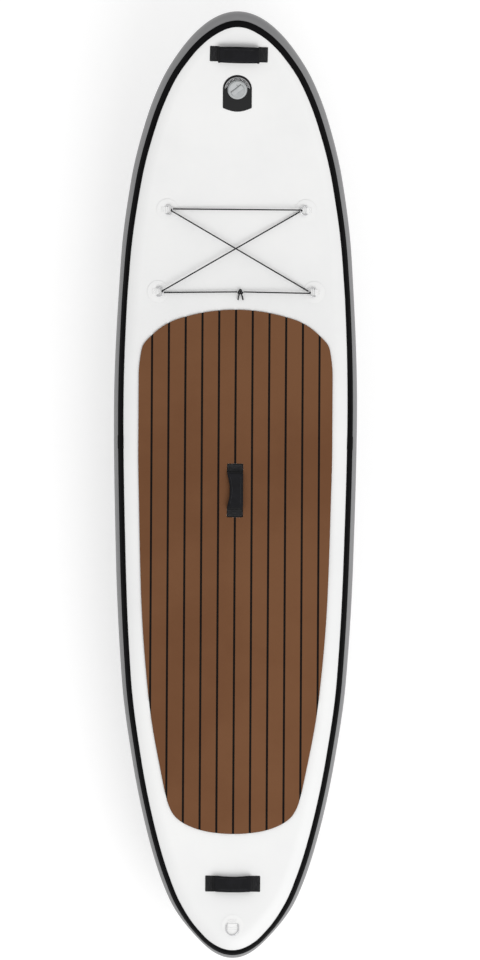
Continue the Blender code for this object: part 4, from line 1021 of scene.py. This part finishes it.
def lacing(place, side, enter):
    # Half a turn round a ring's bow, from below it to above it
    clear = ((rings["wire"] + bungee["diameter"]) / 2 + hull["gap"]) / math.cos(math.pi / 8)
    half = rings["bowWidth"] / 2
    points = []
    for step, angle in enumerate((270, 225, 180, 135, 90)):
        across = -side * enter * (1 - step / 2)
        bow = rings["bowDepth"] - half + math.sqrt(half ** 2 - across ** 2)
        radial = math.radians(angle)
        points.append(place @ Vector((bow + clear * math.cos(radial), across, clear * math.sin(radial))))
    return points


def spanBetween(first, second, count, sag=0.0):
    return [first.lerp(second, step / count) - Vector((0, 0, sag * math.sin(math.pi * step / count)))
            for step in range(count + 1)]


def besideBends(points, reach):
    # Adds a point close beside each bend, so that the long spans stay straight
    full = [points[0]]
    for k in range(1, len(points)):
        before, after = points[k - 1], points[k]
        gap = (after - before).length
        if gap > 3 * reach and k > 1 and (before - points[k - 2]).length < 2 * reach:
            full.append(before.lerp(after, reach / gap))
        if gap > 3 * reach and k + 1 < len(points) and (points[k + 1] - after).length < 2 * reach:
            full.append(after.lerp(before, reach / gap))
        full.append(after)
    return full


def cordTube(path, closed=False):
    return sweptShape(path, bungee["diameter"] / 2, bungee["sides"], closed)


lowerY = hull["nose"] - rings["places"]["lower_left"][1]
knotHeight = hull["thickness"] + deckRise(lowerY) + bungee["knotHeight"]
knotReach = bungee["knotSize"] * bungee["knotSpan"] + bungee["diameter"] / 2 + 3 * hull["gap"]
knotRight = Vector((bungee["knotOffset"] + knotReach, lowerY, knotHeight))
knotLeft = Vector((bungee["knotOffset"] - knotReach, lowerY, knotHeight))
lane = bungee["lane"]
lowerLeft = lacing(ringFrames["lower_left"], -1, -lane)
upperRight = lacing(ringFrames["upper_right"], 1, -lane)
upperLeft = lacing(ringFrames["upper_left"], -1, lane)
lowerRight = lacing(ringFrames["lower_right"], 1, lane)
crossingLift = bungee["diameter"] + 2 * hull["gap"]
rear = spanBetween(knotLeft, lowerLeft[0], 4)
rising = spanBetween(lowerLeft[-1], upperRight[0], 8)
front = spanBetween(upperRight[-1], upperLeft[0], 6)
falling = spanBetween(upperLeft[-1], lowerRight[0], 8, -crossingLift)
rearEnd = spanBetween(lowerRight[-1], knotRight, 4)
cordRuns = {
    "lower_left": rear[:-1] + lowerLeft + rising[1:5],
    "upper_right": rising[4:-1] + upperRight + front[1:4],
    "upper_left": front[3:-1] + upperLeft + falling[1:5],
    "lower_right": falling[4:-1] + lowerRight + rearEnd[1:],
}
for word, points in cordRuns.items():
    path = smoothPath(besideBends(points, bungee["bendReach"]), bungee["spacing"], uneven=True)
    cord = makePiece(f"{joinedName(word)}Cord", cordTube(path), "cord", None,
                     ["bungee_cord"] if word == "lower_left" else ())
    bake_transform(cord)

# A trefoil loop stands for the knot, and its two tails start inside it
knotCentre = Vector((bungee["knotOffset"], lowerY, knotHeight))
knotPath = []
for step in range(bungee["knotSteps"]):
    turn = 2 * math.pi * step / bungee["knotSteps"]
    x, y = math.sin(turn) + 2 * math.sin(2 * turn), 2 * math.cos(2 * turn) - math.cos(turn)
    knotPath.append(knotCentre + bungee["knotSize"] * Vector((x, y, -0.75 * math.sin(3 * turn))))
knot = cordTube(knotPath, True)
for side in (-1, 1):
    start = knotCentre + Vector((side * bungee["tailAside"], -bungee["tailBack"], bungee["tailRise"]))
    end = knotCentre + Vector((side * bungee["tailSpread"] + bungee["tailLean"], -bungee["knotTail"],
                               -bungee["tailDrop"]))
    bend = start.lerp(end, 0.5) + Vector((side * bungee["tailAside"], 0, bungee["tailRise"]))
    pourInto(knot, cordTube(smoothPath([start, bend, end], bungee["tailSpacing"])))
makePiece("bungeeKnot", knot, "cord", "hull", ["bungee_knot"])
print("bungee made")


# Valve: patch and print, housing with its spider, return spring, and cap
valvePatch = {
    "width": 0.098, "front": 0.051, "back": 0.077, "bulge": 0.013, "turn": 44, "thickness": 0.0009,
    "steps": 96,
    "faceMargin": 0.0045, "faceBack": 0.4, "faceBore": 0.001, "faceSink": 0.0002, "faceRise": 0.0003,
    "printRise": 0.00045, "arc": (0.0410, 0.0426), "arcTurns": (6, 168), "arcSteps": 60,
    "ticks": (0.0354, 0.0390), "tickTurns": (12, 170, 8), "tickSweeps": (3.2, 5.2), "tickSteps": 3,
}


def valvePatchShape(margin, low, high):
    # Arched in front, straight at the sides and gently rounded at the back
    bm = bmesh.new()
    half = valvePatch["width"] / 2 - margin
    sideFront = valvePatch["front"] - valvePatch["width"] / 2
    back = -valvePatch["back"] + valvePatch["bulge"] + margin * valvePatch["faceBack"]
    turn = math.radians(valvePatch["turn"])
    bmesh.ops.create_circle(bm, cap_ends=True, segments=valvePatch["steps"], radius=1.0)
    for vert in bm.verts:
        x, y = vert.co.x, vert.co.y
        if y >= 0:
            vert.co = (half * x, sideFront + half * y, low)
        else:
            across = x / math.cos(turn) if abs(x) < math.cos(turn) else math.copysign(1, x)
            fall = min(1.0, -y / math.sin(turn))
            bulge = valvePatch["bulge"] * math.cos(across * math.pi / 2) if abs(across) < 1 else 0.0
            vert.co = (half * across, sideFront + (back - sideFront) * fall - bulge, low)
    return raiseFlat(bm, high - low)


patchTop = hull["gap"] + valvePatch["thickness"]
patchSheet = makePiece("valvePatchSheet", valvePatchShape(0.0, hull["gap"], patchTop), "blackPatch", "hull",
                       ["valve_patch"], place=valvePlace)
cutBore(patchSheet)
faceShape = valvePatchShape(valvePatch["faceMargin"], patchTop - valvePatch["faceSink"],
                            patchTop + valvePatch["faceRise"])
patchFace = makePiece("valvePatchFace", faceShape, "patchFace", "hull", place=valvePlace)
cutBore(patchFace, valvePatch["faceBore"])


def printedArc(radii, start, sweep, steps):
    # A printed stroke round the valve's axis
    low, high = patchTop, patchTop + valvePatch["printRise"]
    inner, outer = radii
    bm = bmesh.new()
    corners = [bm.verts.new((radius, 0, height)) for radius, height in
               ((inner, low), (outer, low), (outer, high), (inner, high))]
    face = bm.faces.new(corners)
    bmesh.ops.rotate(bm, verts=corners, cent=(0, 0, 0), matrix=Matrix.Rotation(math.radians(start), 3, "Z"))
    bmesh.ops.spin(bm, geom=[face, *face.edges, *corners], axis=(0, 0, 1), cent=(0, 0, 0),
                   angle=math.radians(sweep), steps=steps)
    bmesh.ops.remove_doubles(bm, verts=bm.verts, dist=meshing["merge"])
    return bm


arcs = printedArc(valvePatch["arc"], *valvePatch["arcTurns"], valvePatch["arcSteps"])
narrow, broad = valvePatch["tickSweeps"]
for turn in range(*valvePatch["tickTurns"]):
    sweep = narrow if turn % 3 else broad
    pourInto(arcs, printedArc(valvePatch["ticks"], turn, sweep, valvePatch["tickSteps"]))
makePiece("valvePrint", arcs, "print", "hull", place=valvePlace)


def roundedRim(radius, high, steps):
    # Each step is a distance inwards from the edge and one below the top
    return [(radius - inwards, high - below) for inwards, below in steps]


housing = {
    "flange": 0.0330, "flangeLow": 0.0018, "flangeHigh": 0.0043, "barrel": 0.0220, "barrelInner": 0.0180,
    "flangeRim": ((0.0012, 0.0), (0.0004, 0.0003), (0.0, 0.0010)), "hubSteps": 48,
    "barrelLow": -0.0380, "seat": 0.0130, "seatLow": -0.0270, "seatHigh": -0.0240,
    "armTurns": (10, 70, 130), "armReach": 0.0185, "armHalf": 0.0013, "armLow": -0.0235, "armHigh": -0.0200,
    "hub": 0.0052, "hubInner": 0.0028, "hubHigh": -0.0155,
}
flange, flangeHigh = housing["flange"], housing["flangeHigh"]
outer, inner = housing["barrel"], housing["barrelInner"]
body = spunShape([
    *roundedRim(flange, flangeHigh, housing["flangeRim"]),
    (flange, housing["flangeLow"]), (outer, housing["flangeLow"]), (outer, housing["barrelLow"]),
    (inner, housing["barrelLow"]), (inner, housing["seatLow"]), (housing["seat"], housing["seatLow"]),
    (housing["seat"], housing["seatHigh"]), (inner, housing["seatHigh"]), (inner, flangeHigh)])
for turn in housing["armTurns"]:
    arm = boxShape((-housing["armReach"], -housing["armHalf"], housing["armLow"]),
                   (housing["armReach"], housing["armHalf"], housing["armHigh"]))
    pourInto(body, arm, Matrix.Rotation(math.radians(turn), 4, "Z"))
hub, hubInner = housing["hub"], housing["hubInner"]
pourInto(body, spunShape([
    (hub, housing["hubHigh"]), (hub, housing["seatHigh"]), (hubInner, housing["seatHigh"]),
    (hubInner, housing["hubHigh"])], housing["hubSteps"]))
makePiece("valveHousing", body, "valve", "hull", ["valve_body"], place=valvePlace)

coil = {"low": -0.01465, "high": -0.00735, "radius": 0.0042, "wire": 0.0011, "sides": 10, "turns": 4.5,
        "steps": 90, "stroke": 0.005}
coilPath = []
for step in range(coil["steps"] + 1):
    angle = 2 * math.pi * coil["turns"] * step / coil["steps"]
    height = coil["low"] + (coil["high"] - coil["low"]) * step / coil["steps"]
    coilPath.append(Vector((coil["radius"] * math.cos(angle), coil["radius"] * math.sin(angle), height)))
spring = makePiece("valveSpringCoil", sweptShape(coilPath, coil["wire"] / 2, coil["sides"]), "steel", "hull",
                   ["valve_spring"], place=valvePlace)
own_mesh(spring)

capShape = {
    "radius": 0.0305, "low": 0.0046, "high": 0.0098, "floor": 0.0016, "web": 0.0018,
    "rim": ((0.0050, 0.0003), (0.0042, 0.0), (0.0018, 0.0001), (0.0007, 0.0006), (0.0001, 0.0018),
            (0.0, 0.003)),
    "floorRim": ((0.0062, 0.0), (0.0056, -0.0003)), "lowRim": ((0.0, -0.0003), (0.0004, 0.0)),
    "plug": 0.0176, "plugGroove": 0.0162, "plugInner": 0.0146, "plugSteps": (0.0017, 0.0037, 0.0050),
    "barLength": 0.046, "barWidth": 0.016, "barHeight": 0.0040, "barSink": 0.0004, "barTurn": 39,
    "barTaper": (0.94, 0.80, 1.0), "barEdge": 0.0012,
    "ribPitch": 10, "ribHalf": 0.0006, "ribProud": 0.00025, "ribTop": 0.0032,
    "paintedShadeSink": 0.0003, "paintedShadeRise": 0.0002,
    "mark": ((0.002, -0.0004), (-0.001, 0.0012)), "paintedShadeTick": ((0.009, 0.0010), (0.0102, 0.0085)),
}
rim, capLow, capHigh = capShape["radius"], capShape["low"], capShape["high"]
plug, groove, plugInner = capShape["plug"], capShape["plugGroove"], capShape["plugInner"]
capFloor = capHigh - capShape["floor"]
grooveHigh, grooveLow, plugLow = (capLow - drop for drop in capShape["plugSteps"])
cap = spunShape([
    (0.0, capFloor), *roundedRim(rim, capFloor, capShape["floorRim"]),
    *roundedRim(rim, capHigh, capShape["rim"]), *roundedRim(rim, capLow, capShape["lowRim"]),
    (plug, capLow), (plug, grooveHigh), (groove, grooveHigh),
    (groove, grooveLow), (plug, grooveLow), (plug, plugLow), (plugInner, plugLow),
    (plugInner, capLow + capShape["web"]), (0.0, capLow + capShape["web"])])
halfLength, halfWide = capShape["barLength"] / 2, capShape["barWidth"] / 2
bar = boxShape((-halfLength, -halfWide, capFloor - capShape["barSink"]),
               (halfLength, halfWide, capHigh + capShape["barHeight"]))
high = [vert for vert in bar.verts if vert.co.z > capHigh]
bmesh.ops.scale(bar, verts=high, vec=capShape["barTaper"])
bmesh.ops.bevel(bar, geom=[edge for edge in bar.edges if any(vert in high for vert in edge.verts)],
                offset=capShape["barEdge"], affect="EDGES", segments=4, profile=0.5, material=-1)
pourInto(cap, bar, Matrix.Rotation(math.radians(capShape["barTurn"]), 4, "Z"))
for turn in range(0, 360, capShape["ribPitch"]):
    rib = boxShape((rim - capShape["ribHalf"], -capShape["ribHalf"], capLow + capShape["ribHalf"]),
                   (rim + capShape["ribProud"], capShape["ribHalf"], capHigh - capShape["ribTop"]))
    pourInto(cap, rib, Matrix.Rotation(math.radians(turn), 4, "Z"))
makePiece("valveCapTop", cap, "valve", "cap", ["valve_cap"], place=valvePlace)

# Painted shade: a dark line beside the bar, where the bar's side lies in shadow, with a short one across it
# for the shade of a notch
paintedShadeLow, paintedShadeHigh = capFloor - capShape["paintedShadeSink"], capFloor + capShape["paintedShadeRise"]
(startX, startY), (endX, endY) = capShape["mark"]
mark = boxShape((-halfLength + startX, halfWide + startY, paintedShadeLow),
                (halfLength + endX, halfWide + endY, paintedShadeHigh))
(startX, startY), (endX, endY) = capShape["paintedShadeTick"]
pourInto(mark, boxShape((startX, halfWide + startY, paintedShadeLow), (endX, halfWide + endY, paintedShadeHigh)))
bmesh.ops.rotate(mark, verts=mark.verts, cent=(0, 0, 0),
                 matrix=Matrix.Rotation(math.radians(capShape["barTurn"]), 3, "Z"))
# The line and its short tick are painted shade, in dark plastic on the grey cap
makePiece("valveCapPaintedShade", mark, "valveDark", "cap", place=valvePlace)
print("valve made")


# Fins: smooth foils, with the root that each stands on
fins = {
    "around": 64, "down": 40, "mapWidth": 0.3, "rakePower": 1.6, "leadShare": 0.42, "thinnest": 0.05,
    "tipPower": 8, "boxReach": 0.455, "slotWidth": 0.0096, "gap": 0.0003, "ridge": -0.0248,
    "depth": 0.205, "root": 0.160, "tip": 0.045, "rake": 0.075, "fullness": 1.9, "rootSink": 0.004,
    "tabLength": 0.160, "tabHeight": 0.0170, "tabLow": 0.0005,
    "lugLength": 0.018, "lugLow": 0.0028, "lugThickness": 0.0035, "lugSink": 0.002,
    "pinRadius": 0.0020, "pinHalf": 0.0072, "pinReach": 0.008, "pinHeight": 0.01175, "pinSteps": 24,
    "sideReach": 0.430, "sideOffset": 0.145, "sideRoot": 0.100, "sideTip": 0.035, "sideDepth": 0.105,
    "sideRake": 0.045, "sideThickness": 0.008, "sideSink": 0.001, "toeIn": 2,
    "baseLength": 0.124, "baseWidth": 0.032, "baseThickness": 0.0030, "baseCorner": 0.001,
}


def foilHalf(share):
    # Half thickness of a symmetric foil along its chord, by the usual formula
    return 5 * (0.2969 * math.sqrt(share) - 0.126 * share - 0.3516 * share ** 2 + 0.2843 * share ** 3
                - 0.1036 * share ** 4)


def foilBlade(root, tip, depth, rake, thickness, top):
    # Foil sections from the root down to the tip, their round edge to the nose
    def place(around, along):
        drop = math.sin(math.pi / 2 * along)
        chord = tip + (root - tip) * math.sqrt(max(0.0, 1 - drop ** 2))
        lead = root / 2 - rake * drop ** fins["rakePower"] - (root - chord) * fins["leadShare"]
        thick = thickness / root * chord / 2
        turn = around * 2
        share = (1 - math.cos(math.pi * (turn if turn <= 1 else 2 - turn))) / 2
        side = 1 if turn <= 1 else -1
        ends = 0.0 if share < 0.0001 or share > 0.9999 else 1.0
        taper = math.sqrt(max(0.0, 1 - along ** fins["tipPower"]))
        half = side * ends * thick * max(foilHalf(share) * 2, fins["thinnest"]) * taper
        return Vector((half, lead - chord * share, top - depth * drop))

    bm = shapedGrid(fins["around"], fins["down"], place, (fins["mapWidth"], depth))
    bmesh.ops.holes_fill(bm, edges=bm.edges, sides=0)
    return bm


boxPlace = Matrix.Translation((0, hullTail + fins["boxReach"], 0))
tabHalf = fins["slotWidth"] / 2 - fins["gap"]
tabEnd = fins["tabLength"] / 2
blade = foilBlade(fins["root"], fins["tip"], fins["depth"], fins["rake"], tabHalf * fins["fullness"],
                  fins["ridge"] + fins["rootSink"])
pourInto(blade, boxShape((-tabHalf, -tabEnd, fins["ridge"] - fins["tabLow"]),
                         (tabHalf, tabEnd, fins["ridge"] + fins["tabHeight"])))
lugLow = fins["ridge"] + fins["lugLow"]
lug = boxShape((-tabHalf, tabEnd - fins["lugSink"], lugLow),
               (tabHalf, tabEnd + fins["lugLength"], lugLow + fins["lugThickness"]))
pourInto(blade, lug)
pin = rodShape(fins["pinRadius"], -fins["pinHalf"], fins["pinHalf"], fins["pinSteps"])
pinPlace = Matrix.Translation((0, -tabEnd + fins["pinReach"], fins["ridge"] + fins["pinHeight"]))
pourInto(blade, pin, pinPlace @ Matrix.Rotation(math.pi / 2, 4, "Y"))
makePiece("centreFinBlade", blade, "fin", "fin", ["centre_fin"], place=boxPlace)

for side, word in ((-1, "Left"), (1, "Right")):
    place = Matrix.Translation((side * fins["sideOffset"], hullTail + fins["sideReach"], 0))
    place = place @ Matrix.Rotation(side * math.radians(fins["toeIn"]), 4, "Z")
    baseLow = -hull["gap"] - fins["baseThickness"]
    base = roundedPlate(fins["baseWidth"], fins["baseLength"], baseLow, -hull["gap"],
                        fins["baseWidth"] / 2 - fins["baseCorner"])
    pourInto(base, foilBlade(fins["sideRoot"], fins["sideTip"], fins["sideDepth"], fins["sideRake"],
                             fins["sideThickness"], baseLow + fins["sideSink"]))
    makePiece(f"sideFin{word}Moulding", base, "fin", "hull", [f"side_fin_{word.lower()}"], place=place)
print("fins made")


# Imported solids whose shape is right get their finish
packedFinishes = {
    "core": ["drop_stitch_core"],
    "valveDark": ["valve_nut", "valve_stem"],
    "rubber": ["valve_diaphragm", "valve_cap_seal"],
    "steel": ["fin_screw"],
    "brass": ["fin_nut_plate"],
    "finBox": ["fin_box"],
}
for finish, names in packedFinishes.items():
    for name in names:
        data = nodes[name].data
        data.materials.clear()
        data.materials.append(finishes[finish])


# Floor, light and background
stage = {"floor": 30.0, "white": 0.60, "lift": 0.50, "ambient": 0.77, "keySize": 7.2, "keyPower": 382.0,
         "keyFrom": (3.4, -5.4, 7.9), "below": 0.0005}
floorLevel = cadBox[0][2] - stage["below"]

bm = bmesh.new()
bmesh.ops.create_grid(bm, x_segments=1, y_segments=1, size=stage["floor"])
bmesh.ops.translate(bm, verts=bm.verts, vec=(0, 0, floorLevel))
floorMesh = bpy.data.meshes.new("floor")
bm.to_mesh(floorMesh)
bm.free()
floor = bpy.data.objects.new("floor", floorMesh)
bpy.context.scene.collection.objects.link(floor)


def seenMask(tree):
    # One for camera, glossy and transmission rays
    rays = addNode(tree, "ShaderNodeLightPath").outputs
    some = mathOut(tree, "MAXIMUM", rays["Is Camera Ray"], rays["Is Glossy Ray"])
    return mathOut(tree, "MAXIMUM", some, rays["Is Transmission Ray"])


floorPaint = bpy.data.materials.new("paleFloor")
floorPaint.use_nodes = True
tree = floorPaint.node_tree
shader = tree.nodes["Principled BSDF"]
shader.inputs["Base Color"].default_value = (stage["white"],) * 3 + (1.0,)
shader.inputs["Roughness"].default_value = 0.9
shader.inputs["Specular IOR Level"].default_value = 0.0
glow = addNode(tree, "ShaderNodeEmission", None,
               {"Strength": mathOut(tree, "MULTIPLY", seenMask(tree), stage["lift"])})
both = addNode(tree, "ShaderNodeAddShader", None, {0: shader.outputs[0], 1: glow.outputs[0]})
tree.links.new(both.outputs[0], tree.nodes["Material Output"].inputs["Surface"])
floorMesh.materials.append(floorPaint)

world = bpy.data.worlds.new("studio")
bpy.context.scene.world = world
world.use_nodes = True
tree = world.node_tree
back = tree.nodes["Background"]
back.inputs["Color"].default_value = (1.0, 1.0, 1.0, 1.0)
level = mathOut(tree, "MULTIPLY_ADD", seenMask(tree), 1.0 - stage["ambient"], stage["ambient"])
tree.links.new(level, back.inputs["Strength"])

keyData = bpy.data.lights.new("softKey", "AREA")
keyData.energy = stage["keyPower"]
keyData.shape = "DISK"
keyData.size = stage["keySize"]
key = bpy.data.objects.new("softKey", keyData)
key.location = stage["keyFrom"]
key.rotation_euler = (-Vector(stage["keyFrom"])).to_track_quat("-Z", "Y").to_euler()
key.visible_camera = False
bpy.context.scene.collection.objects.link(key)
print("stage made")
